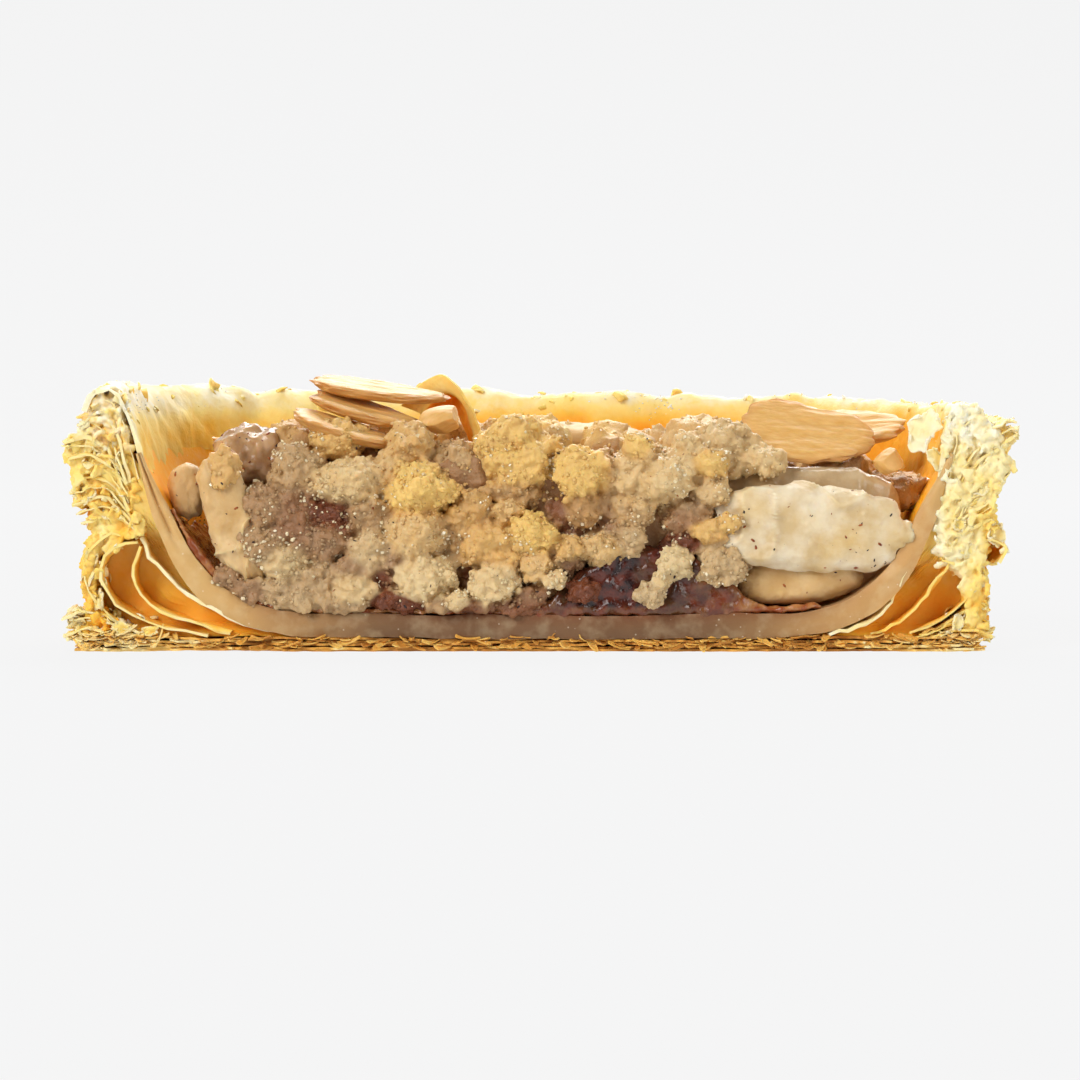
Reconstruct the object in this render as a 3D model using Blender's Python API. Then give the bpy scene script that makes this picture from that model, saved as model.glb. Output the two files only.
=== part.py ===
"""Half of a square puff-pastry apple tart, cut through the middle, lying on its flat base.

Units are metres, +Z is up, and the knife cut faces -Y.  While the pieces are made the cut is the
plane y = 0 with the middle of the tart at x = 0; at the end one empty carries them all so that the
origin is under the middle of the half tart.
"""

import math

import bmesh
import bpy
from mathutils import Euler, Matrix, Vector, noise

MM = 0.001

# ---- driving dimensions ------------------------------------------------------------------------
HALF_WIDTH = 54.5 * MM      # middle of the tart to the shoulder of the side walls
DEPTH = 52.0 * MM           # cut face to the back wall
PLAN_SQUARENESS = 3.6       # exponent of the rounded-square outline seen from above

BASE_THICKNESS = 4.2 * MM   # crisp sole and pale dough under the filling
BASIN_REACH = 45.5 * MM     # middle to the inner edge of the rim
BASIN_STEEPNESS = 9.0       # the basin rises as (x / reach) to this power
INNER_RIM_HEIGHT = 28.0 * MM

RIM_LEFT = 30.4 * MM        # crest of the pastry wall at each end of the cut
RIM_RIGHT = 27.9 * MM
FOOT_LEFT = 54.3 * MM       # how far the wall reaches out at the table
FOOT_RIGHT = 50.0 * MM
WAIST = 50.4 * MM           # the wall is drawn in here
WAIST_HEIGHT = 12.0 * MM
SHOULDER_LEFT = 23.3 * MM   # height of the widest leaf at each end of the cut
SHOULDER_RIGHT = 25.2 * MM
CREST_SETBACK = 5.2 * MM    # crest lies this far inside the shoulder
CREST_WIDTH = 3.0 * MM

# Leaves of pastry that stand out of the wall: edge, groove, edge and so on, as shares of its height
LEAF_LEVELS = (0.015, 0.075, 0.15, 0.20, 0.31, 0.385, 0.43, 0.475, 0.56, 0.605, 0.66, 0.73, 0.80, 0.86, 0.92)
FLAKE_DEPTH = 2.6 * MM
RAGGED = 1.1 * MM           # how uneven the wall and the rim are

GAP = 0.3 * MM              # left between pieces that touch
MOUND_HEIGHT = 22.0 * MM    # top of the crumble between its lumps
MOUND_EDGE = 18.0 * MM
HEAP_UNEVEN = 2.2 * MM       # how far its surface goes up and down, and over what distance
HEAP_BUMP = 5.5 * MM
HILL_PLACE = -18.0 * MM, 12.0 * MM    # rise under the stacked almonds
HILL_SIZE = 9.0 * MM, 7.0 * MM
HILL_HEIGHT = 2.8 * MM
SHELL_STEPS = 46            # steps round the half outline
FILLING_STEPS = 30

GOLDEN_ANGLE = math.pi * (3.0 - math.sqrt(5.0))


# ---- materials ---------------------------------------------------------------------------------
def material(name, colour, roughness):
    """A plain food finish: sRGB colour as 0 to 1 values, made linear."""
    made = bpy.data.materials.get(name) or bpy.data.materials.new(name)
    made.use_nodes = True
    shader = made.node_tree.nodes["Principled BSDF"]
    shader.inputs["Base Color"].default_value = [c ** 2.2 for c in colour] + [1.0]
    shader.inputs["Roughness"].default_value = roughness
    shader.inputs["Metallic"].default_value = 0.0
    return made


def pastry_finish():
    return material("puff_pastry", (0.93, 0.78, 0.44), 0.55)


def jam_finish():
    return material("dark_jam", (0.36, 0.15, 0.13), 0.2)


def crumble_finish():
    return material("butter_crumble", (0.84, 0.74, 0.54), 0.7)


def apple_finish():
    return material("baked_apple", (0.88, 0.82, 0.70), 0.35)


def spiced_apple_finish():
    return material("spiced_apple", (0.66, 0.54, 0.42), 0.35)


def almond_finish():
    return material("toasted_almond", (0.87, 0.67, 0.43), 0.45)


# ---- mesh helpers ------------------------------------------------------------------------------
def link_mesh(name, points, faces, finish):
    """One closed object from points and faces, its faces turned outwards."""
    mesh = bpy.data.meshes.new(name)
    mesh.from_pydata([tuple(p) for p in points], [], faces)
    shape = bmesh.new()
    shape.from_mesh(mesh)
    bmesh.ops.recalc_face_normals(shape, faces=shape.faces)
    bmesh.ops.triangulate(shape, faces=shape.faces)
    shape.to_mesh(mesh)
    shape.free()
    mesh.shade_smooth()
    mesh.set_sharp_from_angle(angle=math.radians(50))
    mesh.materials.append(finish)
    made = bpy.data.objects.new(name, mesh)
    bpy.context.scene.collection.objects.link(made)
    return made


def ripple(*coordinates):
    """Smooth noise from -1 to 1 at a point given by up to three numbers."""
    padded = (list(coordinates) + [0.0, 0.0])[:3]
    return noise.noise(Vector(padded))


def outline_radius(angle):
    """Middle of the cut to the rounded-square outline, in the direction of angle."""
    power = PLAN_SQUARENESS
    across = abs(math.cos(angle) / HALF_WIDTH) ** power
    along = abs(math.sin(angle) / DEPTH) ** power
    return (across + along) ** (-1.0 / power)


def from_profile(reach, height, angle):
    """The place of a section point: reach is measured along the cut, from the middle outwards."""
    radius = reach * outline_radius(angle) / HALF_WIDTH
    return radius * math.cos(angle), radius * abs(math.sin(angle)), height


def half_turned(name, lower, upper, steps, finish):
    """A solid between two profiles that run from the middle outwards, carried round the outline.

    lower and upper give, for an angle, (reach, height) pairs whose first reach is 0.  The ends of
    the sweep lie in the cut plane, where one flat face closes them.
    """
    angles = [math.pi * i / steps for i in range(steps + 1)]
    points, skins = [], []
    for profile in (lower, upper):
        middle = len(points)
        points.append(from_profile(*profile(0.0)[0], 0.0))
        rows = []
        for angle in angles:
            row = [middle]
            for reach, height in profile(angle)[1:]:
                row.append(len(points))
                points.append(from_profile(reach, height, angle))
            rows.append(row)
        skins.append(rows)
    faces = []
    for rows in skins:
        for row, following in zip(rows, rows[1:]):
            faces.append((row[0], row[1], following[1]))
            for i in range(1, len(row) - 1):
                faces.append((row[i], row[i + 1], following[i + 1], following[i]))
    under, over = skins
    for i in range(steps):
        faces.append((under[i][-1], over[i][-1], over[i + 1][-1], under[i + 1][-1]))
    cut = under[-1][:0:-1] + under[0] + over[0][:0:-1] + over[-1]
    faces.append(tuple(cut))
    return link_mesh(name, points, faces, finish)


def lump(name, centre, half_sizes, finish, detail, seed, roughness=0.16):
    """An uneven rounded piece: a sphere of few faces, stretched and pushed about by noise."""
    shape = bmesh.new()
    bmesh.ops.create_icosphere(shape, subdivisions=detail, radius=1.0)
    for vertex in shape.verts:
        wobble = 1.0 + roughness * ripple(*(vertex.co * 1.7 + Vector((seed, seed * 0.37, 0.0))))
        wobble += roughness * ripple(*(vertex.co * 3.9 + Vector((0.0, seed, seed * 0.61))))
        vertex.co = Vector(c * s * wobble for c, s in zip(vertex.co, half_sizes)) + Vector(centre)
    mesh = bpy.data.meshes.new(name)
    shape.to_mesh(mesh)
    shape.free()
    mesh.shade_smooth()
    mesh.materials.append(finish)
    made = bpy.data.objects.new(name, mesh)
    bpy.context.scene.collection.objects.link(made)
    return made


def grown(piece, margin):
    """A copy of a piece that is larger by margin all round, for cutting room for it."""
    shape = bmesh.new()
    shape.from_mesh(piece.data)
    shape.normal_update()
    moves = [v.normal * margin * min(v.calc_shell_factor(), 2.0) for v in shape.verts]
    for vertex, move in zip(shape.verts, moves):
        vertex.co += move
    mesh = bpy.data.meshes.new(piece.name + "_room")
    shape.to_mesh(mesh)
    shape.free()
    cutter = bpy.data.objects.new(piece.name + "_room", mesh)
    cutter.matrix_world = piece.matrix_world
    bpy.context.scene.collection.objects.link(cutter)
    return cutter


def boolean(target, operation, tools):
    """Joins, cuts or limits target by a group of closed tools, applies it and removes the tools."""
    group = bpy.data.collections.new("tools")
    bpy.context.scene.collection.children.link(group)
    for tool in tools:
        bpy.context.scene.collection.objects.unlink(tool)
        group.objects.link(tool)
    modifier = target.modifiers.new(operation, "BOOLEAN")
    modifier.operation = operation
    modifier.operand_type = "COLLECTION"
    modifier.collection = group
    modifier.solver = "MANIFOLD"    # every tool is one closed body
    evaluated = target.evaluated_get(bpy.context.evaluated_depsgraph_get())
    result = bpy.data.meshes.new_from_object(evaluated)
    target.modifiers.clear()
    target.data = result
    for tool in list(group.objects):
        bpy.data.objects.remove(tool)
    bpy.data.collections.remove(group)


def keep_largest(piece):
    """Drops loose scraps: only the body with the most faces stays."""
    shape = bmesh.new()
    shape.from_mesh(piece.data)
    shape.faces.ensure_lookup_table()
    waiting = set(shape.faces)
    bodies = []
    while waiting:
        stack = [waiting.pop()]
        body = []
        while stack:
            face = stack.pop()
            body.append(face)
            for edge in face.edges:
                for other in edge.link_faces:
                    if other in waiting:
                        waiting.remove(other)
                        stack.append(other)
        bodies.append(body)
    bodies.sort(key=len)
    for body in bodies[:-1]:
        bmesh.ops.delete(shape, geom=body, context="FACES")
    shape.to_mesh(piece.data)
    shape.free()


# ---- pastry ------------------------------------------------------------------------------------
def basin_point(share, offset=0.0):
    """A point of the basin's inner surface, moved by offset towards the filling.

    share runs from 0 in the middle to 1 at the rim.
    """
    reach = BASIN_REACH * share ** 0.45
    rise = INNER_RIM_HEIGHT - BASE_THICKNESS
    height = BASE_THICKNESS + rise * (reach / BASIN_REACH) ** BASIN_STEEPNESS
    slope = rise * BASIN_STEEPNESS / BASIN_REACH * (reach / BASIN_REACH) ** (BASIN_STEEPNESS - 1.0)
    length = math.hypot(1.0, slope)
    return reach - offset * slope / length, height + offset / length


def leftness(angle):
    """0 at the right end of the cut, 1 at the left end."""
    return (1.0 - math.cos(angle)) / 2.0


def crest_height(angle):
    """Height of the rim's crest, uneven along the wall."""
    height = RIM_RIGHT + (RIM_LEFT - RIM_RIGHT) * leftness(angle) ** 2
    return height + RAGGED * (0.6 * ripple(angle * 4.0, 4.2) + 0.7 * ripple(angle * 13.0, 1.3))


def wall_reach(height, angle):
    """Outer reach of the wall: wide foot, drawn-in waist, wide shoulder, crest set back."""
    foot = FOOT_RIGHT + (FOOT_LEFT - FOOT_RIGHT) * leftness(angle)
    if height < WAIST_HEIGHT:
        spread = math.cos(math.pi / 2 * height / WAIST_HEIGHT) ** 2
        return WAIST + (foot - WAIST) * spread
    shoulder = SHOULDER_RIGHT + (SHOULDER_LEFT - SHOULDER_RIGHT) * leftness(angle)
    if height < shoulder:
        share = (height - WAIST_HEIGHT) / (shoulder - WAIST_HEIGHT)
        return WAIST + (HALF_WIDTH - WAIST) * math.sin(math.pi / 2 * share) ** 2
    share = (height - shoulder) / (crest_height(angle) - shoulder)
    return HALF_WIDTH - CREST_SETBACK * min(share, 1.0) ** 2


def shell_outside(angle):
    """Sole, then the flaky outer wall from the table up to the crest.

    Every leaf comes and goes along the wall, and its edge rises and falls.
    """
    crest = crest_height(angle)
    wall = []
    for i, level in enumerate(LEAF_LEVELS):
        height = crest * level
        if i:
            height += RAGGED * 0.7 * ripple(angle * 3.0, i * 0.6, 5.0)
        depth = FLAKE_DEPTH * min(max(0.55 + 1.3 * ripple(angle * 2.6, i * 2.3), 0.08), 1.0)
        stands_out = -depth if i % 2 else 0.0
        uneven = RAGGED * (ripple(angle * 7.0, i * 1.7, 2.0) - 0.6)
        wall.append((wall_reach(height, angle) + stands_out + uneven, height))
    reach = wall[-1][0]
    sole = [(0.0, 0.0), (wall_reach(0.0, angle) - FLAKE_DEPTH, 0.0)]
    return sole + wall + [(reach - CREST_WIDTH * 0.4, crest)]


def shell_inside(angle):
    """The basin from the middle of its floor up to the inner edge of the crest."""
    rings = 9
    points = [basin_point(0.0)]
    for i in range(1, rings):
        points.append(basin_point(i / rings))
    crest = crest_height(angle)
    points.append((BASIN_REACH - 0.2 * MM, min(INNER_RIM_HEIGHT, crest - 1.4 * MM)))
    return points


def air_pocket(name, side, start, end, offset, width, depth):
    """A blind hollow between two leaves of pastry, open at the cut.

    It follows the basin at a distance of offset on the pastry's side, from share start to share
    end, is width thick in its middle, and closes depth behind the cut.
    """
    rows = ((-1.5 * MM, 1.0), (depth * 0.45, 0.9), (depth, 0.25))
    steps = 6
    points, rings = [], []
    for along, fullness in rows:
        ring = []
        for skin in (1.0, -1.0):
            for i in range(steps):
                part = (i if skin > 0 else steps - i) / steps
                share = start + (end - start) * (0.5 + (part - 0.5) * fullness)
                bulge = width / 2 * fullness * math.sin(math.pi * part) * skin
                reach, height = basin_point(share, -offset - bulge)
                ring.append(len(points))
                points.append((side * reach, along, height))
        rings.append(ring)
    faces = [tuple(rings[0]), tuple(rings[-1])]
    for ring, following in zip(rings, rings[1:]):
        for i in range(len(ring)):
            j = (i + 1) % len(ring)
            faces.append((ring[i], ring[j], following[j], following[i]))
    return link_mesh(name, points, faces, pastry_finish())


def pastry_shell():
    """Sole, dough lining and flaky wall in one, with the air pockets that the cut opens."""
    shell = half_turned("pastry_shell", shell_outside, shell_inside, SHELL_STEPS, pastry_finish())
    pockets = [
        air_pocket("pocket", -1, 0.42, 0.86, 4.1 * MM, 1.9 * MM, 9 * MM),
        air_pocket("pocket", -1, 0.58, 0.93, 7.4 * MM, 3.0 * MM, 11 * MM),
        air_pocket("pocket", 1, 0.56, 0.84, 5.2 * MM, 2.8 * MM, 10 * MM),
        air_pocket("pocket", 1, 0.40, 0.60, 3.9 * MM, 1.1 * MM, 7 * MM),
    ]
    boolean(shell, "DIFFERENCE", pockets)
    return shell


# ---- jam ---------------------------------------------------------------------------------------
JAM_THIN = 0.9 * MM
JAM_LEFT_THICKNESS = 1.7 * MM     # smear that climbs the left wall
JAM_POOL_THICKNESS = 7.2 * MM     # pool under the crumble, right of the middle
JAM_POOL_PLACE = 12.0 * MM, 2.0 * MM
JAM_POOL_SIZE = 9.0 * MM, 12.0 * MM
JAM_EDGE_LEFT = 0.84              # share of the basin that the jam covers
JAM_EDGE_RIGHT = 0.52
JAM_RINGS = 8


def jam_edge(angle):
    return JAM_EDGE_RIGHT + (JAM_EDGE_LEFT - JAM_EDGE_RIGHT) * leftness(angle)


def jam_thickness(share, angle):
    """A thin spread, thicker up the left wall, with one pool."""
    reach, _ = basin_point(share)
    x, y, _ = from_profile(reach, 0.0, angle)
    pool = math.exp(-((x - JAM_POOL_PLACE[0]) / JAM_POOL_SIZE[0]) ** 4
                    - ((y - JAM_POOL_PLACE[1]) / JAM_POOL_SIZE[1]) ** 2)
    climb = leftness(angle) ** 4 * share ** 3
    uneven = 1.0 + 0.25 * ripple(x / (6 * MM), y / (6 * MM))
    return (JAM_THIN + JAM_LEFT_THICKNESS * climb + JAM_POOL_THICKNESS * pool) * uneven


def jam_shares(angle):
    """Where across the basin the jam is measured, from the middle to its edge."""
    return [jam_edge(angle) * (i / JAM_RINGS) ** 1.6 for i in range(JAM_RINGS + 1)]


def jam_profile(angle, offset_of):
    """Points from the middle to the jam's edge, each moved off the basin by offset_of(share)."""
    shares = jam_shares(angle)
    points = [basin_point(share, offset_of(share)) for share in shares]
    return [(0.0, points[0][1])] + points[1:]


def jam():
    def under(angle):
        return jam_profile(angle, lambda share: GAP)

    def over(angle):
        return jam_profile(angle, lambda share: GAP + jam_thickness(share, angle if share else 0.0))

    return half_turned("jam_layer", under, over, FILLING_STEPS, jam_finish())


# ---- apple -------------------------------------------------------------------------------------
# name: middle (x, z), half sizes (x, z), front and back (y), tilt in degrees, squareness
APPLE_SLICES = {
    "apple_slice_front_right": ((28.9, 13.5), (10.5, 4.7), (-1.0, 2.4), -3.0, 2.7),
    "apple_slice_upper_right": ((29.0, 16.2), (11.4, 4.4), (2.8, 6.4), -1.0, 2.8),
    "apple_slice_lower_right": ((28.4, 8.5), (7.2, 2.75), (2.8, 7.5), 7.0, 2.3),
    "apple_slice_left": ((-35.0, 14.6), (2.3, 7.9), (-0.4, 2.8), 20.0, 2.3),
    "apple_chunk_left_wall": ((-40.2, 17.8), (1.8, 3.3), (3.2, 8.4), 6.0, 2.2),
}
# name: middle (x, y, height above the crumble), half sizes, turn about X, Y and Z in degrees
LYING_SLICES = {
    "apple_slice_top_middle": ((5.5, 17.0, 1.6), (7.6, 5.2, 1.6), (6, 4, -8)),
    "apple_slice_top_left": ((-19.5, 32.0, 1.2), (8.2, 4.8, 1.6), (-5, -5, 20)),
    "apple_slice_top_right": ((28.6, 30.0, 1.2), (8.0, 5.0, 1.6), (-5, 5, -34)),
}
SPICED_CHUNK = ((-33.2, 7.6, 21.8), (4.7, 4.0, 4.0))
# room in the crumble round the upright slices: middle (x, z), half sizes (x, z), depth behind the cut
SLICE_BAYS = {
    "low_bay": ((30.6, 12.2), (13.4, 8.0), 7.2),
    "high_bay": ((35.0, 19.0), (11.0, 9.0), 6.8),
    "left_bay": ((-40.0, 20.0), (8.6, 9.0), 3.3),
}


def apple_slice(name, place, half, span, tilt, squareness):
    """An upright slice whose flat face lies along the cut: a superellipse, rounded at its rims."""
    around, finish = 20, apple_finish()
    thickness = (span[1] - span[0]) * MM
    bevel = min(thickness * 0.35, 1.0 * MM)
    rows = ((0.0, 0.88), (bevel, 1.0), (thickness - bevel, 1.0), (thickness, 0.82))
    turn = math.radians(tilt)
    points, rings = [], []
    for along, fullness in rows:
        ring = []
        for i in range(around):
            angle = 2 * math.pi * i / around
            c, s = math.cos(angle), math.sin(angle)
            radius = (abs(c) ** squareness + abs(s) ** squareness) ** (-1.0 / squareness)
            radius *= fullness * (1.0 + 0.05 * ripple(c * 1.5, s * 1.5, place[0]))
            x, z = half[0] * MM * radius * c, half[1] * MM * radius * s
            ring.append(len(points))
            points.append((
                place[0] * MM + x * math.cos(turn) - z * math.sin(turn),
                span[0] * MM + along,
                place[1] * MM + x * math.sin(turn) + z * math.cos(turn),
            ))
        rings.append(ring)
    faces = [tuple(rings[0]), tuple(rings[-1])]
    for ring, following in zip(rings, rings[1:]):
        for i in range(around):
            j = (i + 1) % around
            faces.append((ring[i], ring[j], following[j], following[i]))
    return link_mesh(name, points, faces, finish)


def lying_slice(name, place, half, turns):
    """A half-moon of apple lying on the crumble: straight inner side, round outer side."""
    around = 18
    rows = ((-1.0, 0.80), (-0.4, 1.0), (0.4, 1.0), (1.0, 0.84))
    points, rings = [], []
    for level, fullness in rows:
        ring = []
        for i in range(around):
            angle = 2 * math.pi * i / around
            c, s = math.cos(angle), math.sin(angle)
            depth = s if s > 0 else 0.45 * s + 0.22 * (1 - c * c) * s
            ring.append(len(points))
            bow = 0.25 * (1.0 - c * c)
            points.append(tuple(h * MM * v for h, v in zip(half, (c * fullness, depth * fullness, level + bow))))
        rings.append(ring)
    faces = [tuple(rings[0]), tuple(rings[-1])]
    for ring, following in zip(rings, rings[1:]):
        for i in range(around):
            j = (i + 1) % around
            faces.append((ring[i], ring[j], following[j], following[i]))
    made = link_mesh(name, points, faces, apple_finish())
    made.rotation_euler = Euler([math.radians(t) for t in turns])
    made.location = [p * MM for p in place]
    return made


# ---- almonds and the loose pastry curl ---------------------------------------------------------
# name: middle (x, y, z), length, width, turn about X, Y and Z in degrees
ALMOND_FLAKES = {
    "almond_flake_upper_left": ((-19.0, 11.6, 29.1), 15.4, 8.6, (4, 8, 4)),
    "almond_flake_middle_left": ((-20.6, 9.0, 26.9), 12.4, 8.0, (5, 14, -5)),
    "almond_flake_lower_left": ((-22.6, 5.4, 24.7), 12.0, 7.2, (6, 16, 3)),
    "almond_flake_right": ((30.0, 7.4, 24.2), 15.6, 8.4, (50, 5, 3)),
    "almond_flake_right_behind": ((34.6, 14.0, 24.4), 14.0, 8.0, (30, -4, -10)),
}
# the same, with the height counted from the top of the crumble
SCATTERED_FLAKES = {
    "almond_flake_back_left": ((-33.6, 24.0, 1.6), 15.0, 8.4, (8, 6, 68)),
    "almond_flake_back_middle": ((-3.0, 36.0, 1.5), 16.0, 8.6, (-6, -5, -20)),
    "almond_flake_back_right": ((14.2, 35.4, 1.5), 14.5, 8.0, (6, 6, 30)),
}
ALMOND_THICKNESS = 1.4 * MM
ALMOND_CUP = 0.5 * MM
# name: middle (x, y, z), half sizes
ALMOND_CHIPS = {
    "almond_chip_left": ((-11.4, 7.2, 25.4), (2.5, 2.0, 1.9)),
    "almond_chip_right": ((39.2, 3.8, 21.2), (1.6, 1.5, 1.4)),
}
CURL_START = -15.6 * MM, 28.6 * MM   # (x, z) along the strip's middle line
CURL_PEAK = -11.4 * MM, 32.6 * MM
CURL_END = -8.3 * MM, 22.6 * MM
CURL_PLACE = 18.6 * MM
CURL_WIDTH = 8.0 * MM
CURL_THICKNESS = 0.7 * MM


def almond_flake(name, place, length, width, turns):
    """A sliced almond: pointed at one end, round at the other, a little cupped."""
    around = 16
    rows = ((-1.0, 0.0), (-1.0, 0.6), (0.0, 1.0), (1.0, 0.6), (1.0, 0.0))
    points, rings = [], []
    for level, fullness in rows:
        ring = []
        for i in range(around if fullness else 1):
            angle = 2 * math.pi * i / around
            c, s = math.cos(angle), math.sin(angle)
            x = length / 2 * MM * c * fullness
            y = width / 2 * MM * s * fullness * (1.0 - 0.28 * c - 0.12 * c * c)
            cup = ALMOND_CUP * ((x / (length / 2 * MM)) ** 2 + (y / (width / 2 * MM)) ** 2)
            ring.append(len(points))
            points.append((x, y, ALMOND_THICKNESS / 2 * level + cup))
        rings.append(ring)
    faces = []
    for ring, following in zip(rings, rings[1:]):
        for i in range(around):
            j = (i + 1) % around
            if len(ring) == 1:
                faces.append((ring[0], following[j], following[i]))
            elif len(following) == 1:
                faces.append((ring[i], ring[j], following[0]))
            else:
                faces.append((ring[i], ring[j], following[j], following[i]))
    made = link_mesh(name, points, faces, almond_finish())
    made.rotation_euler = Euler([math.radians(t) for t in turns])
    made.location = [p * MM for p in place]
    return made


def pastry_curl():
    """A loose leaf of pastry, bent over like a roof, that stands behind the almonds."""
    steps, across = 9, 3
    start, peak, end = (Vector(p) for p in (CURL_START, CURL_PEAK, CURL_END))
    points, grid = [], []
    for skin in (0.5, -0.5):
        rows = []
        for i in range(steps + 1):
            t = i / steps
            middle = start.lerp(peak, t).lerp(peak.lerp(end, t), t)
            run = (peak - start).lerp(end - peak, t).normalized()
            side = Vector((-run.y, run.x)) * CURL_THICKNESS * skin
            width = CURL_WIDTH * (0.35 + 0.65 * math.sin(math.pi * min(t * 0.9 + 0.1, 1.0) * 0.5))
            row = []
            for j in range(across + 1):
                share = j / across - 0.5
                wave = 0.4 * MM * math.sin(share * 5.0 + t * 4.0)
                row.append(len(points))
                points.append((middle.x + side.x + wave, CURL_PLACE + share * width, middle.y + side.y))
            rows.append(row)
        grid.append(rows)
    faces = []
    for rows in grid:
        for row, following in zip(rows, rows[1:]):
            for j in range(across):
                faces.append((row[j], row[j + 1], following[j + 1], following[j]))
    top, under = grid
    for i in range(steps):
        for j in (0, across):
            faces.append((top[i][j], top[i + 1][j], under[i + 1][j], under[i][j]))
    for i in (0, steps):
        for j in range(across):
            faces.append((top[i][j], top[i][j + 1], under[i][j + 1], under[i][j]))
    return link_mesh("pastry_curl", points, faces, pastry_finish())


# ---- crumble -----------------------------------------------------------------------------------
# The lumps that stand out of the cut: middle (x, z) and half sizes (x, z), in millimetres
CUT_LUMPS = (
    ((-24.7, 22.6), (3.3, 2.7)), ((-15.9, 22.0), (3.0, 2.7)), ((-2.8, 20.7), (4.6, 4.3)),
    ((4.0, 18.8), (3.0, 3.9)), ((11.0, 19.6), (5.4, 4.8)), ((20.0, 21.8), (4.0, 3.6)),
    ((-23.0, 18.9), (4.6, 2.8)), ((-14.6, 16.4), (3.7, 4.6)), ((-8.8, 15.0), (2.8, 2.5)),
    ((-3.4, 12.4), (4.6, 2.8)), ((-11.8, 8.9), (3.6, 2.6)), ((-5.0, 8.7), (3.4, 2.3)),
    ((-27.4, 9.8), (4.2, 3.3)), ((-20.6, 9.2), (3.8, 2.8)), ((-22.5, 13.8), (3.8, 2.6)),
    ((-29.6, 15.8), (2.6, 4.4)), ((-9.0, 19.0), (3.4, 3.4)), ((16.4, 17.6), (2.4, 2.6)),
)
TOP_LUMPS = 38
TOP_LUMP_SIZES = 2.9 * MM, 5.2 * MM


def mound_height(x, y):
    """Height of the crumble between its lumps: highest in the middle, lower at the walls."""
    share = min(abs(x) / (BASIN_REACH - 3 * MM), 1.0) ** 4 + min(y / (DEPTH * 0.8), 1.0) ** 4
    uneven = HEAP_UNEVEN * ripple(x / HEAP_BUMP, y / HEAP_BUMP, 7.0)
    hill = math.exp(-((x - HILL_PLACE[0]) / HILL_SIZE[0]) ** 2 - ((y - HILL_PLACE[1]) / HILL_SIZE[1]) ** 2)
    return MOUND_HEIGHT - (MOUND_HEIGHT - MOUND_EDGE) * min(share, 1.0) + HILL_HEIGHT * hill + uneven


def on_mound(middle):
    """(x, y, height above the crumble) in millimetres made (x, y, z)."""
    x, y, lift = middle
    return x, y, mound_height(x * MM, y * MM) / MM + lift


FREE_RINGS = 3              # rings of the filling's side above the jam


def filling_side(angle, top_share, extra):
    """The filling's underside: over the jam, down past its edge, then up the bare basin."""
    edge = jam_edge(angle)
    covered = [(share, 2 * GAP + jam_thickness(share, angle if share else 0.0)) for share in jam_shares(angle)]
    bare = [(edge + (top_share - edge) * i / FREE_RINGS, 1.5 * GAP) for i in range(1, FREE_RINGS + 1)]
    points = [basin_point(share, offset + extra) for share, offset in covered + bare]
    return [(0.0, points[0][1])] + points[1:]


def crumble_core():
    """The body of the heap, from the jam up to the mound's surface."""
    top_share, rings = 0.93, 10

    def under(angle):
        return filling_side(angle, top_share, 0.5 * MM)

    def over(angle):
        edge = under(angle)[-1]
        points = []
        for i in range(rings):
            reach = (edge[0] - 0.8 * MM) * i / (rings - 1)
            x, y, _ = from_profile(reach, 0.0, angle)
            points.append((reach, max(mound_height(x, y), edge[1] + 0.3 * MM)))
        return points

    return half_turned("crumble_filling", under, over, FILLING_STEPS, crumble_finish())


def filling_space():
    """All the room that the crumble may take up, reaching out of the cut and above the rim."""
    def under(angle):
        return filling_side(angle, 0.98, 0.0)

    def over(angle):
        return [(0.0, 40 * MM), (under(angle)[-1][0], 40 * MM)]

    space = half_turned("filling_space", under, over, FILLING_STEPS, crumble_finish())
    for vertex in space.data.vertices:
        if vertex.co.y < 1e-7:
            vertex.co.y = -5 * MM
    return space


def crumble_lumps():
    """Lumps in the cut, placed one by one, and lumps on top, spread by the golden angle."""
    finish, lumps = crumble_finish(), []
    for i, ((x, z), (half_x, half_z)) in enumerate(CUT_LUMPS):
        depth = 0.5 * (half_x + half_z)
        middle = Vector((x, depth - 1.9 - 0.5 * ripple(i * 1.3), z)) * MM
        lumps.append(lump("lump", middle, [v * MM for v in (half_x, depth, half_z)], finish, 2, i * 2.3))
    small, large = TOP_LUMP_SIZES
    for i in range(TOP_LUMPS):
        angle = (GOLDEN_ANGLE * i) % math.pi
        reach = (BASIN_REACH - 5.5 * MM) * math.sqrt((i + 1.0) / TOP_LUMPS)
        x, y, _ = from_profile(reach, 0.0, angle)
        size = small + (large - small) * abs(ripple(i * 0.77, 3.3)) * 1.6
        size = min(size, large)
        if y < size * 0.8:
            continue
        middle = Vector((x, y, mound_height(x, y) + size * 0.10))
        lumps.append(lump("lump", middle, (size, size * 0.92, size * 0.8), finish, 2, 90 + i * 1.9))
    return lumps


def crumble(neighbours, cut_room):
    """The heap of buttery crumbs: a core with its lumps joined on, cut clear of the other pieces."""
    heap = crumble_core()
    boolean(heap, "UNION", crumble_lumps())
    boolean(heap, "INTERSECT", [filling_space()])
    boolean(heap, "DIFFERENCE", [grown(piece, 1.3 * GAP) for piece in neighbours] + cut_room)
    keep_largest(heap)
    heap.data.shade_smooth()
    heap.data.set_sharp_from_angle(angle=math.radians(50))
    return heap


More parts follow.
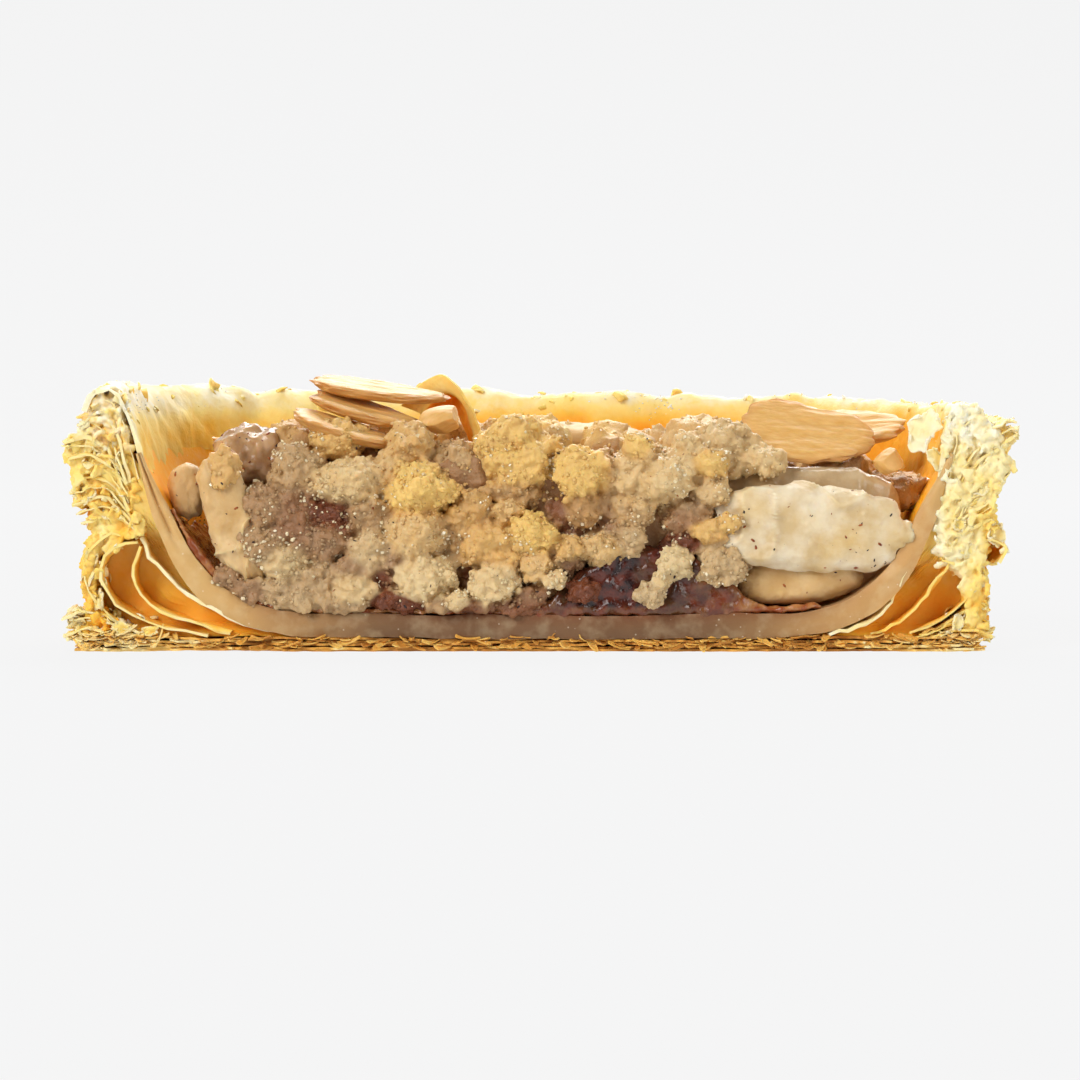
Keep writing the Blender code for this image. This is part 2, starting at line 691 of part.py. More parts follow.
def slice_bay(name, middle, half, depth):
    """Room in the heap for the upright slices: a block with its middle at (x, z), open to the cut."""
    shape = bmesh.new()
    bmesh.ops.create_cube(shape, size=2.0)
    for vertex in shape.verts:
        vertex.co.x = (middle[0] + vertex.co.x * half[0]) * MM
        vertex.co.y = ((vertex.co.y + 1) / 2 * (depth + 6) - 6) * MM
        vertex.co.z = (middle[1] + vertex.co.z * half[1]) * MM
    mesh = bpy.data.meshes.new(name)
    shape.to_mesh(mesh)
    shape.free()
    made = bpy.data.objects.new(name, mesh)
    bpy.context.scene.collection.objects.link(made)
    return made


# ---- assembly ----------------------------------------------------------------------------------
def clear_scene():
    for old in list(bpy.data.objects):
        bpy.data.objects.remove(old)


def carry_by_empty(pieces):
    """One empty carries every piece, moved so that the origin is under the middle of them all."""
    bpy.context.view_layer.update()
    corners = [piece.matrix_world @ v.co for piece in pieces for v in piece.data.vertices]
    low = [min(c[i] for c in corners) for i in range(3)]
    high = [max(c[i] for c in corners) for i in range(3)]
    carrier = bpy.data.objects.new("apple_tart_half", None)
    bpy.context.scene.collection.objects.link(carrier)
    for piece in pieces:
        piece.parent = carrier
    carrier.matrix_world = Matrix.Translation((-(low[0] + high[0]) / 2, -(low[1] + high[1]) / 2, -low[2]))
    bpy.context.view_layer.update()


def main():
    clear_scene()
    shell = pastry_shell()
    upright = [apple_slice(name, *sizes) for name, sizes in APPLE_SLICES.items()]
    lying = []
    for name, (middle, *sizes) in LYING_SLICES.items():
        lying.append(lying_slice(name, on_mound(middle), *sizes))
    place, half = SPICED_CHUNK
    chunk = lump(
        "apple_chunk_spiced", [p * MM for p in place], [h * MM for h in half], spiced_apple_finish(), 3, 5.0, 0.12
    )
    flakes = [almond_flake(name, *sizes) for name, sizes in ALMOND_FLAKES.items()]
    for name, (middle, *sizes) in SCATTERED_FLAKES.items():
        flakes.append(almond_flake(name, on_mound(middle), *sizes))
    chips = []
    for i, (name, (middle, sizes)) in enumerate(ALMOND_CHIPS.items()):
        chips.append(
            lump(name, [p * MM for p in middle], [s * MM for s in sizes], almond_finish(), 2, 40.0 + i, 0.2)
        )
    curl = pastry_curl()
    bpy.context.view_layer.update()
    toppings = upright + lying + [chunk] + flakes + chips + [curl]
    spread = jam()
    boolean(spread, "DIFFERENCE", [grown(piece, 1.3 * GAP) for piece in upright])
    keep_largest(spread)
    bays = [slice_bay(name, *sizes) for name, sizes in SLICE_BAYS.items()]
    heap = crumble(toppings, bays)
    carry_by_empty([shell, spread, heap] + toppings)


main()
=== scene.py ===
"""Half of a square puff-pastry apple tart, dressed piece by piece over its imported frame.

Lengths are millimetres until a mesh is built.  The knife cut is the plane y = 0 of the kitchen frame
and the middle of the tart is x = 0; Plan.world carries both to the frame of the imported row.
"""

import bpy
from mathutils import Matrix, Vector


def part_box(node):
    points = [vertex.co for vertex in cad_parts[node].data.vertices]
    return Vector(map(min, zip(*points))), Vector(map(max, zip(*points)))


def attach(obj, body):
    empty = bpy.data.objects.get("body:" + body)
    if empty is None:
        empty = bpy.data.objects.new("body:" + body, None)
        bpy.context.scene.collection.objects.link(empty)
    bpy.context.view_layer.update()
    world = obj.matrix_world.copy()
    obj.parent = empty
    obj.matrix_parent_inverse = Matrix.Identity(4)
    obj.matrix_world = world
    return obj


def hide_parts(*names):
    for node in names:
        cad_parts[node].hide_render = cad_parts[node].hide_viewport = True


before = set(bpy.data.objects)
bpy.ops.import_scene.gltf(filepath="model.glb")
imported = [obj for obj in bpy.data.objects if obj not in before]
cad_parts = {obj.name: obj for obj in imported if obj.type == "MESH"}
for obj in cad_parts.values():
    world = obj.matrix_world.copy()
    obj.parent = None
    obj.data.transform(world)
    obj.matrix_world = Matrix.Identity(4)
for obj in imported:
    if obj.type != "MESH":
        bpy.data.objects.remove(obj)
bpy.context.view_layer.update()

import itertools  # noqa: E402
import logging  # noqa: E402
import math  # noqa: E402
from collections.abc import Callable  # noqa: E402
from dataclasses import dataclass, field  # noqa: E402
from enum import Enum  # noqa: E402

import bmesh  # noqa: E402
import bpy  # noqa: E402
import numpy as np  # noqa: E402
from mathutils import Vector  # noqa: E402

LOG = logging.getLogger("tart")
MM = 0.001
BODY = "root"
Array = np.ndarray
Tree = bpy.types.NodeTree
Socket = bpy.types.NodeSocket


# ---- numbers and shapes ---------------------------------------------------------------------------
def noise_field(points: Array, wavelength: float, seed: float = 0.0) -> Array:
    """Smooth value noise: random numbers on a cubic lattice, blended with the smoothstep curve.

    Args:
        points: places in mm, last axis x, y, z.
        wavelength: lattice spacing in mm.
        seed: any number; another seed gives another field.

    Returns:
        Values from -1 to 1, one for each place.
    """
    scaled = np.asarray(points) / wavelength + seed * 17.13 + 101.7
    base = np.floor(scaled).astype(np.int64)
    part = scaled - base
    part = part * part * (3.0 - 2.0 * part)
    total = np.zeros(scaled.shape[:-1])
    for corner in itertools.product((0, 1), repeat=3):
        index = base + np.array(corner)
        code = (index[..., 0] * 73856093) ^ (index[..., 1] * 19349663) ^ (index[..., 2] * 83492791)
        code = (code ^ (code >> 13)) * 1274126177
        value = ((code ^ (code >> 16)) & 0xFFFF) / 32767.5 - 1.0
        weight = np.prod(np.where(np.array(corner) == 1, part, 1.0 - part), axis=-1)
        total += value * weight
    return total


def layered_noise(points: Array, wavelength: float, seed: float = 0.0, layers: int = 3) -> Array:
    """Noise whose wavelength and height both halve from layer to layer, summed.

    Args:
        points: places in mm.
        wavelength: of the widest layer, in mm.
        seed: any number.
        layers: how many are summed.

    Returns:
        Values of about -1 to 1.
    """
    total = 0.0
    for layer in range(layers):
        total = total + noise_field(points, wavelength / 2**layer, seed + layer * 3.7) / 2**layer
    return total / 1.4


def smooth_curve(points: Array, share: Array) -> Array:
    """Catmull-Rom curve: passes through each point, leaving it parallel to its two neighbours' chord.

    Args:
        points: k points, shape (k, n).
        share: places along the curve from 0 to 1.

    Returns:
        Points of the curve, shape (len(share), n).
    """
    points = np.asarray(points, float)
    padded = np.vstack([2 * points[0] - points[1], points, 2 * points[-1] - points[-2]])
    place = np.clip(np.asarray(share), 0.0, 1.0) * (len(points) - 1)
    start = np.minimum(place.astype(int), len(points) - 2)
    t = (place - start)[..., None]
    a, b, c, d = (padded[start + i] for i in range(4))
    bend = (2 * a - 5 * b + 4 * c - d) * t**2
    return 0.5 * (2 * b + (c - a) * t + bend + (3 * b - a - 3 * c + d) * t**3)


def turned(points: Array, degrees: tuple[float, float, float]) -> Array:
    """Turns points about X, then Y, then Z.

    Args:
        points: shape (..., 3).
        degrees: the three angles.

    Returns:
        The turned points.
    """
    made = np.eye(3)
    for axis, angle in enumerate(np.radians(degrees)):
        c, s = math.cos(angle), math.sin(angle)
        one, two = [(1, 2), (2, 0), (0, 1)][axis]
        step = np.eye(3)
        step[one, one], step[one, two], step[two, one], step[two, two] = c, -s, s, c
        made = step @ made
    return points @ made.T


@dataclass(frozen=True)
class Plan:
    """The tart's outline seen from above and its basin, as the pastry was shaped.

    The outline is a superellipse |x / half_width|^p + |y / depth|^p = 1, and the basin rises as
    (reach / basin_reach) to the power of steepness.
    """

    half_width: float = 54.5
    depth: float = 52.0
    squareness: float = 3.6
    basin_reach: float = 45.5
    steepness: float = 9.0
    floor: float = 4.2
    inner_rim: float = 28.0
    middle_x: float = 0.217
    cut_y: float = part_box("pastry_shell")[0].y / MM

    def world(self, points: Array) -> Array:
        """Carries kitchen-frame millimetres to the row's millimetres."""
        return np.asarray(points, float) + np.array([self.middle_x, self.cut_y, 0.0])

    def carry(self, reach: Array, height: Array, angle: Array) -> Array:
        """Places section points round the outline.

        Args:
            reach: distance from the middle, as measured along the cut.
            height: above the table.
            angle: 0 at the right end of the cut, pi at the left end.

        Returns:
            Points, last axis x, y, z.
        """
        across = np.abs(np.cos(angle) / self.half_width) ** self.squareness
        along = np.abs(np.sin(angle) / self.depth) ** self.squareness
        radius = reach * (across + along) ** (-1.0 / self.squareness) / self.half_width
        x, y = radius * np.cos(angle), radius * np.abs(np.sin(angle))
        return np.stack(np.broadcast_arrays(x, y, height), axis=-1)

    def basin(self, share: Array, offset: Array = 0.0) -> tuple[Array, Array]:
        """A place on the basin's surface, moved by offset towards the filling.

        Args:
            share: 0 in the middle to 1 at the rim.
            offset: in mm, negative into the pastry.

        Returns:
            Reach and height.
        """
        reach = self.basin_reach * np.asarray(share, float) ** 0.45
        rise = self.inner_rim - self.floor
        height = self.floor + rise * (reach / self.basin_reach) ** self.steepness
        slope = rise * self.steepness / self.basin_reach * (reach / self.basin_reach) ** (self.steepness - 1)
        length = np.hypot(1.0, slope)
        return reach - offset * slope / length, height + offset / length


PLAN = Plan()


# ---- mesh building --------------------------------------------------------------------------------
@dataclass
class Soup:
    """Points and triangles of one or more closed bodies, with values for each point."""

    points: Array
    faces: Array
    values: dict[str, Array] = field(default_factory=dict)

    @staticmethod
    def joined(parts: list["Soup"]) -> "Soup":
        """Puts several together; all must carry the same values."""
        starts = np.cumsum([0] + [len(part.points) for part in parts[:-1]])
        faces = np.concatenate([part.faces + start for part, start in zip(parts, starts)])
        values = {key: np.concatenate([part.values[key] for part in parts]) for key in parts[0].values}
        return Soup(np.concatenate([part.points for part in parts]), faces, values)

    def middles(self) -> Array:
        """The middle of each triangle."""
        return self.points[self.faces].mean(1)

    def area_vectors(self) -> Array:
        """Each triangle's normal, as long as twice its area."""
        a, b, c = (self.points[self.faces[:, i]] for i in range(3))
        return np.cross(b - a, c - a)


def grid_faces(rows: int, columns: int, closed: bool = False) -> Array:
    """Triangles of a grid of rows by columns, its columns joined into rings where closed."""
    last = columns if closed else columns - 1
    i, j = (a.ravel() for a in np.meshgrid(np.arange(rows - 1), np.arange(last), indexing="ij"))
    k = (j + 1) % columns
    a, b, c, d = i * columns + j, i * columns + k, (i + 1) * columns + k, (i + 1) * columns + j
    return np.concatenate([np.stack([a, b, c], 1), np.stack([a, c, d], 1)])


def grid_normals(grid: Array) -> Array:
    """Unit normals of a grid of points: the cross product of its two directions."""
    normal = np.cross(np.gradient(grid, axis=0), np.gradient(grid, axis=1))
    return normal / np.maximum(np.linalg.norm(normal, axis=-1, keepdims=True), 1e-9)


def lidded(over: Array, under: Array, pole: bool = False) -> Soup:
    """A closed body between two grids of points, walled along their edges.

    Args:
        over: rows by columns of points.
        under: as many points on the other side.
        pole: whether the first column of each grid is a single point, which needs no wall.

    Returns:
        The closed body.
    """
    rows, columns = over.shape[:2]
    count = rows * columns
    top = grid_faces(rows, columns)
    index = np.arange(count).reshape(rows, columns)
    sides = [index[0, :-1], index[:-1, -1], index[-1, :0:-1], index[:0:-1, 0]]
    edge = np.concatenate(sides[:3] if pole else sides)
    after = np.roll(edge, -1)
    wall = [np.stack([edge, edge + count, after], 1), np.stack([after, edge + count, after + count], 1)]
    points = np.concatenate([over.reshape(-1, 3), under.reshape(-1, 3)])
    return Soup(points, np.concatenate([top, top[:, ::-1] + count, *wall]))


def thick_sheet(grid: Array, thickness: Array, values: dict[str, Array] | None = None) -> Soup:
    """A closed thin body: the grid moved half its thickness to each side along its normals.

    Args:
        grid: rows by columns of points.
        thickness: one number, or one for each point.
        values: numbers for each grid point.

    Returns:
        The closed body.
    """
    step = grid_normals(grid) * (np.broadcast_to(thickness, grid.shape[:2])[..., None] / 2)
    made = lidded(grid + step, grid - step)
    made.values = {key: np.tile(np.asarray(value).ravel(), 2) for key, value in (values or {}).items()}
    return made


def welded(soup: Soup) -> Soup:
    """Joins points less than a micrometre apart and drops the triangles that this closes up."""
    keys = np.round(soup.points / 0.001).astype(np.int64)
    _, first, inverse = np.unique(keys, axis=0, return_index=True, return_inverse=True)
    faces = inverse.reshape(-1)[soup.faces]
    kept = (faces[:, 0] != faces[:, 1]) & (faces[:, 1] != faces[:, 2]) & (faces[:, 2] != faces[:, 0])
    return Soup(soup.points[first], faces[kept], {key: value[first] for key, value in soup.values.items()})


def block(shape: Callable, counts: tuple[int, int, int]) -> Soup:
    """A closed body made from the six sides of a unit cube, each a grid carried by shape.

    Args:
        shape: takes u, v and w from 0 to 1 and gives points and a dict of values.
        counts: points along u, v and w.

    Returns:
        The body, its sides joined.
    """
    parts = []
    for axis in range(3):
        one, two = (a for a in range(3) if a != axis)
        p, q = np.meshgrid(np.linspace(0, 1, counts[one]), np.linspace(0, 1, counts[two]), indexing="ij")
        for side in (0.0, 1.0):
            place = {axis: np.full_like(p, side), one: p, two: q}
            points, values = shape(place[0], place[1], place[2])
            flat = {key: np.broadcast_to(value, p.shape).ravel() for key, value in values.items()}
            parts.append(Soup(points.reshape(-1, 3), grid_faces(*p.shape), flat))
    return welded(Soup.joined(parts))


def disc(rows: int, columns: int, power: float) -> tuple[Array, Array, Array]:
    """A flat round body with a rounded rim, as rings from the pole below to the pole above.

    The distance from the middle is a quarter sine of the ring's number, and the level is the root of
    one minus that distance to the power given.

    Args:
        rows: rings.
        columns: points on a ring.
        power: the higher, the flatter its faces.

    Returns:
        Angle, distance from the middle and level, each rows by columns.
    """
    t = np.linspace(-1.0, 1.0, rows)[:, None]
    angle = np.linspace(0.0, 2 * math.pi, columns, endpoint=False)[None]
    out = np.sin(math.pi / 2 * (1 - np.abs(t)))
    level = np.sign(t) * np.sqrt(np.maximum(1 - out**power, 0.0))
    return tuple(np.array(a) for a in np.broadcast_arrays(angle, out, level))


def rounded_square(angle: Array, power: float) -> Array:
    """Distance to a superellipse of half size 1 at each angle: a circle at power 2, squarer above."""
    return (np.abs(np.cos(angle)) ** power + np.abs(np.sin(angle)) ** power) ** (-1 / power)


def ringed(grid: Array, values: dict[str, Array] | None = None) -> Soup:
    """Closes a grid of rings whose first and last ring are single points."""
    flat = {key: np.broadcast_to(value, grid.shape[:2]).ravel() for key, value in (values or {}).items()}
    return welded(Soup(grid.reshape(-1, 3), grid_faces(grid.shape[0], grid.shape[1], closed=True), flat))


def square(rows: int, columns: int) -> tuple[Array, Array]:
    """A grid of places over a unit square, from -0.5 to 0.5 along both sides."""
    return tuple(np.meshgrid(np.linspace(-0.5, 0.5, rows), np.linspace(-0.5, 0.5, columns), indexing="ij"))


def ball(detail: int) -> Soup:
    """A unit ball of near-equal triangles, 20 * 4^(detail - 1) of them."""
    shape = bmesh.new()
    bmesh.ops.create_icosphere(shape, subdivisions=detail, radius=1.0)
    points = np.array([tuple(v.co) for v in shape.verts])
    faces = np.array([[v.index for v in f.verts] for f in shape.faces])
    shape.free()
    return Soup(points, faces)


def eased(value: Array, low: float, high: float) -> Array:
    """Smoothstep: 0 below low, 1 above high, an S between."""
    t = np.clip((np.asarray(value) - low) / (high - low), 0.0, 1.0)
    return t * t * (3 - 2 * t)


def spread(kind: Soup, places: Array, sizes: Array, turns: Array | None = None) -> Soup:
    """Copies of one small body, each at its own place, size and turn.

    Args:
        kind: the body to copy.
        places: shape (n, 3).
        sizes: shape (n, 3), the stretch along each of the body's own axes.
        turns: shape (n, 3, 3), or None for unturned copies.

    Returns:
        All the copies as one.
    """
    copies = kind.points[None] * sizes[:, None]
    if turns is not None:
        copies = np.einsum("nij,nkj->nki", turns, copies)
    copies = copies + places[:, None]
    faces = kind.faces[None] + (np.arange(len(places)) * len(kind.points))[:, None, None]
    return Soup(copies.reshape(-1, 3), faces.reshape(-1, 3))


def drawn_sizes(rng: np.random.Generator, count: int, least: float, span: float, power: float = 2) -> Array:
    """Random sizes, one for each body: least plus span times a random share to the power given."""
    return least + span * rng.random((count, 1)) ** power


def stretches(rng: np.random.Generator, count: int, least: float, span: float) -> Array:
    """Random stretches along three axes for each body, from least to least plus span."""
    return least + span * rng.random((count, 3))


def random_turns(count: int, rng: np.random.Generator) -> Array:
    """Random rotation matrices from normalised random quaternions."""
    q = rng.normal(size=(count, 4))
    w, x, y, z = (q / np.linalg.norm(q, axis=1, keepdims=True)).T
    return np.stack(
        [
            np.stack([1 - 2 * (y * y + z * z), 2 * (x * y - z * w), 2 * (x * z + y * w)], -1),
            np.stack([2 * (x * y + z * w), 1 - 2 * (x * x + z * z), 2 * (y * z - x * w)], -1),
            np.stack([2 * (x * z - y * w), 2 * (y * z + x * w), 1 - 2 * (x * x + y * y)], -1),
        ],
        axis=1,
    )


def mesh_of(name: str, soup: Soup) -> bpy.types.Mesh:
    """Puts points and triangles in millimetres into a Blender mesh in metres."""
    mesh = bpy.data.meshes.new(name)
    faces = np.ascontiguousarray(soup.faces, dtype=np.int32)
    mesh.vertices.add(len(soup.points))
    mesh.vertices.foreach_set("co", (soup.points * MM).ravel())
    mesh.loops.add(faces.size)
    mesh.loops.foreach_set("vertex_index", faces.ravel())
    mesh.polygons.add(len(faces))
    mesh.polygons.foreach_set("loop_start", np.arange(0, faces.size, 3, dtype=np.int32))
    mesh.update(calc_edges=True)
    return mesh


def fused(soup: Soup, voxel: float) -> Soup:
    """Melts overlapping bodies into one skin, as crumbs that baked together are.

    Args:
        soup: closed bodies that overlap.
        voxel: size of the finest detail kept, in mm.

    Returns:
        The outer skin of them all.
    """
    holder = bpy.data.objects.new("melting", mesh_of("melting", soup))
    bpy.context.scene.collection.objects.link(holder)
    melt = holder.modifiers.new("melt", "REMESH")
    melt.mode = "VOXEL"
    melt.voxel_size = voxel * MM
    skin = bpy.data.meshes.new_from_object(holder.evaluated_get(bpy.context.evaluated_depsgraph_get()))
    points = np.empty(len(skin.vertices) * 3)
    skin.vertices.foreach_get("co", points)
    corners = np.empty(len(skin.loops), dtype=np.int32)
    skin.loops.foreach_get("vertex_index", corners)
    quads = corners.reshape(-1, 4)
    faces = np.concatenate([quads[:, [0, 1, 2]], quads[:, [0, 2, 3]]])
    raw = holder.data
    bpy.data.objects.remove(holder)
    bpy.data.meshes.remove(raw)
    bpy.data.meshes.remove(skin)
    return Soup(points.reshape(-1, 3) / MM, faces)


def point_normals(soup: Soup) -> Array:
    """Unit normals at the points: the sum of the area vectors of the triangles round each."""
    area = soup.area_vectors()
    total = np.zeros_like(soup.points)
    for i in range(3):
        for axis in range(3):
            total[:, axis] += np.bincount(soup.faces[:, i], area[:, axis], minlength=len(soup.points))
    return total / np.maximum(np.linalg.norm(total, axis=1, keepdims=True), 1e-12)


def strewn(soup: Soup, count: int, rng: np.random.Generator, wanted: Array) -> tuple[Array, Array]:
    """Random places on a skin, more where wanted is larger.

    Args:
        soup: the skin.
        count: how many places.
        rng: seeded random source.
        wanted: a weight for each triangle, or one for all.

    Returns:
        Places and the normals there.
    """
    a, b, c = (soup.points[soup.faces[:, i]] for i in range(3))
    cross = soup.area_vectors()
    area = np.linalg.norm(cross, axis=1)
    chance = area * wanted
    pick = rng.choice(len(area), count, p=chance / chance.sum())
    s, t = np.sqrt(rng.random(count))[:, None], rng.random(count)[:, None]
    places = a[pick] * (1 - s) + b[pick] * s * (1 - t) + c[pick] * s * t
    return places, cross[pick] / np.maximum(area[pick, None], 1e-12)


# ---- finishes -------------------------------------------------------------------------------------
def linear(code: str) -> tuple[float, float, float, float]:
    """Turns an sRGB hex colour into linear red, green, blue and an alpha of 1."""
    parts = [int(code.lstrip("#")[i : i + 2], 16) / 255.0 for i in (0, 2, 4)]
    return tuple(p / 12.92 if p <= 0.04045 else ((p + 0.055) / 1.055) ** 2.4 for p in parts) + (1.0,)


def fed(tree: Tree, node: bpy.types.Node, inputs: dict) -> bpy.types.Node:
    """Sets a node's properties and inputs.

    Args:
        tree: where the node is.
        node: the node.
        inputs: property or input socket name (or number) to a value, or to the output socket that
            feeds it.

    Returns:
        The node.
    """
    for key, value in inputs.items():
        if isinstance(value, Socket):
            tree.links.new(value, node.inputs[key])
        elif isinstance(key, str) and hasattr(node, key):
            setattr(node, key, value)
        else:
            node.inputs[key].default_value = value
    return node


def add_node(tree: Tree, kind: str, inputs: dict | None = None) -> bpy.types.Node:
    """Adds a node of Blender's own kind, set and linked as fed says."""
    return fed(tree, tree.nodes.new(kind), inputs or {})


def worked_out(tree: Tree, way: str, *terms: float | Socket, clamp: bool = False) -> Socket:
    """Number output of a sum or a product; each term is a number or an output socket."""
    inputs = {"operation": way, "use_clamp": clamp, **dict(enumerate(terms))}
    return add_node(tree, "ShaderNodeMath", inputs).outputs[0]


def mixed(tree: Tree, share: Socket, under: str | Socket, over: str | Socket, way: str = "MIX") -> Socket:
    """Colour output that blends under into over by share; each is a hex colour or an output socket."""
    under, over = (linear(value) if isinstance(value, str) else value for value in (under, over))
    inputs = {"data_type": "RGBA", "blend_type": way, 0: share, 6: under, 7: over}
    return add_node(tree, "ShaderNodeMix", inputs).outputs[2]


def painted(tree: Tree, body: Socket, *coats: tuple[Socket, str]) -> Socket:
    """Colour output of a body under coats in turn, each a share and the colour that it lays on."""
    for share, colour in coats:
        body = mixed(tree, share, body, colour)
    return body


def ramp(
    tree: Tree, source: Socket, low: float, high: float, bottom: float = 0.0, top: float = 1.0
) -> Socket:
    """Number output: source between low and high, spread to bottom and top, held outside them."""
    inputs = {"From Min": low, "From Max": high, "To Min": bottom, "To Max": top, "Value": source}
    return add_node(tree, "ShaderNodeMapRange", inputs).outputs[0]


def grain(tree: Tree, place: Socket, size_mm: float, detail: float = 2.0) -> Socket:
    """Noise output whose features are size_mm across on a piece measured in metres."""
    inputs = {"Scale": 1.0 / (size_mm * MM), "Detail": detail, "Vector": place}
    return add_node(tree, "ShaderNodeTexNoise", inputs).outputs["Fac"]


def specks(tree: Tree, place: Socket, spacing_mm: float, size_mm: float) -> Socket:
    """1 inside small round specks that lie about spacing_mm apart, 0 between them."""
    inputs = {"Scale": 1.0 / (spacing_mm * MM), "feature": "F1", "Vector": place}
    cells = add_node(tree, "ShaderNodeTexVoronoi", inputs).outputs["Distance"]
    edge = size_mm / spacing_mm
    return ramp(tree, cells, edge * 0.6, edge, 1.0, 0.0)


def attribute(tree: Tree, name: str) -> Socket:
    """Number output of a value stored on the piece's points."""
    return add_node(tree, "ShaderNodeAttribute", {"attribute_name": name}).outputs["Fac"]


@dataclass(frozen=True)
class Finish:
    """What every finish of the tart has: a shader, its gloss and how far light goes into it."""

    name: str
    slot: str
    roughness: float = 0.5
    ior: float = 1.45
    glow: float = 0.4
    glow_radius: tuple[float, float, float] = (1.0, 0.55, 0.2)
    glow_depth: float = 1.2
    coat: float = 0.0
    specular: float = 0.5
    coat_roughness: float = 0.12
    relief_mm: float = 0.1

    def material(self) -> bpy.types.Material:
        """Makes the material once and gives it back on later calls."""
        made = bpy.data.materials.get(self.name)
        if made is None:
            made = bpy.data.materials.new(self.name)
            made.use_nodes = True
            tree = made.node_tree
            place = add_node(tree, "ShaderNodeTexCoord").outputs["Object"]
            colour, roughness, height = self.surface(tree, place)
            relief = {"Distance": self.relief_mm * MM, "Strength": 1.0, "Height": height}
            inputs = {
                "subsurface_method": "RANDOM_WALK",
                "Base Color": colour,
                "Roughness": roughness,
                "Normal": add_node(tree, "ShaderNodeBump", relief).outputs[0],
                "IOR": self.ior,
                "Subsurface Weight": self.glow,
                "Subsurface Radius": self.glow_radius,
                "Subsurface Scale": self.glow_depth * MM,
                "Coat Weight": self.coat,
                "Coat Roughness": self.coat_roughness,
                "Specular IOR Level": self.specular,
            }
            fed(tree, tree.nodes["Principled BSDF"], inputs)
        return made

    def surface(self, tree: Tree, place: Socket) -> tuple:
        """Colour output, roughness and height output of the bumps; each finish has its own."""
        raise NotImplementedError


@dataclass(frozen=True)
class BakedLeaf(Finish):
    """Puff pastry, rolled with butter and baked: thin leaves, pale where young, amber where deep, and painted
    amber as painted shade in the pockets and on the inner wall.

    It gives the eye lemon-yellow translucent sheets with cream edges, tiny blisters, and white where
    icing sugar fell on it.
    """

    pale: str = "#FBEFCC"
    lemon: str = "#F9DC86"
    golden: str = "#F5C04C"
    amber: str = "#F6A228"
    brown: str = "#D07A1A"
    sugar: str = "#FDFCFA"
    blister_mm: float = 0.5
    relief_mm: float = 0.09

    def surface(self, tree: Tree, place: Socket) -> tuple:
        """The value bake runs from 0, pale, to 1, brown, and holds both real baking and painted shade; the
        value sugar is how thick it lies.
        """
        patches = grain(tree, place, 2.2, 3.0)
        bake = worked_out(tree, "MULTIPLY_ADD", patches, 0.34, attribute(tree, "bake"))
        colours = add_node(tree, "ShaderNodeValToRGB", {"Fac": ramp(tree, bake, 0.17, 1.17)})
        stops = colours.color_ramp.elements
        for position, code in ((0.0, self.pale), (0.25, self.lemon), (0.5, self.golden), (0.75, self.amber)):
            stop = stops[0] if position == 0.0 else stops.new(position)
            stop.color = linear(code)
        stops[-1].position = 1.0
        stops[-1].color = linear(self.brown)
        cloud = ramp(tree, grain(tree, place, 1.3, 4.0), 0.36, 0.64)
        dust = worked_out(tree, "MULTIPLY", cloud, attribute(tree, "sugar"))
        colour = mixed(tree, dust, colours.outputs["Color"], self.sugar)
        satin = ramp(tree, patches, 0.3, 0.7, self.roughness - 0.12, self.roughness + 0.12)
        return colour, satin, grain(tree, place, self.blister_mm, 3.0)


@dataclass(frozen=True)
class DenseDough(Finish):
    """The rolled bottom dough that stayed moist: waxy, greyish, close, stained where jam lay on it.

    It gives the eye a smooth half-clear cut face with a few fine pores.
    """

    cream: str = "#826347"
    grey: str = "#73563C"
    tan: str = "#CFA268"
    stain: str = "#7C4A30"
    milk: str = "#D2AA6E"
    # Painted shade: the deep orange laid on the inner wall behind the cut.
    painted_shade_orange: str = "#FFA812"
    clear: str = "#8C8266"
    pore: str = "#F5EBD2"
    relief_mm: float = 0.05

    def surface(self, tree: Tree, place: Socket) -> tuple:
        """The value aside is 0 in the middle, milk 1 up the left wall, stain 1 at the jam, soak 1 on the
        inner wall behind the cut, where it lays painted shade of deep orange.
        """
        cloud = grain(tree, place, 6.0, 2.0)
        body = mixed(tree, ramp(tree, cloud, 0.35, 0.65), self.grey, self.cream)
        coats = (("aside", self.tan), ("milk", self.milk), ("stain", self.stain), ("inner_wall_shade", self.painted_shade_orange))
        body = painted(tree, body, *((attribute(tree, name), colour) for name, colour in coats))
        milky = ramp(tree, grain(tree, place, 1.7, 4.0), 0.46, 0.72, 0.0, 0.5)
        body = mixed(tree, milky, body, self.clear, "SCREEN")
        pores = specks(tree, place, 1.1, 0.12)
        body = mixed(tree, ramp(tree, pores, 0.0, 1.0, 0.0, 0.35), body, self.pore)
        return body, self.roughness, grain(tree, place, 0.35, 3.0)


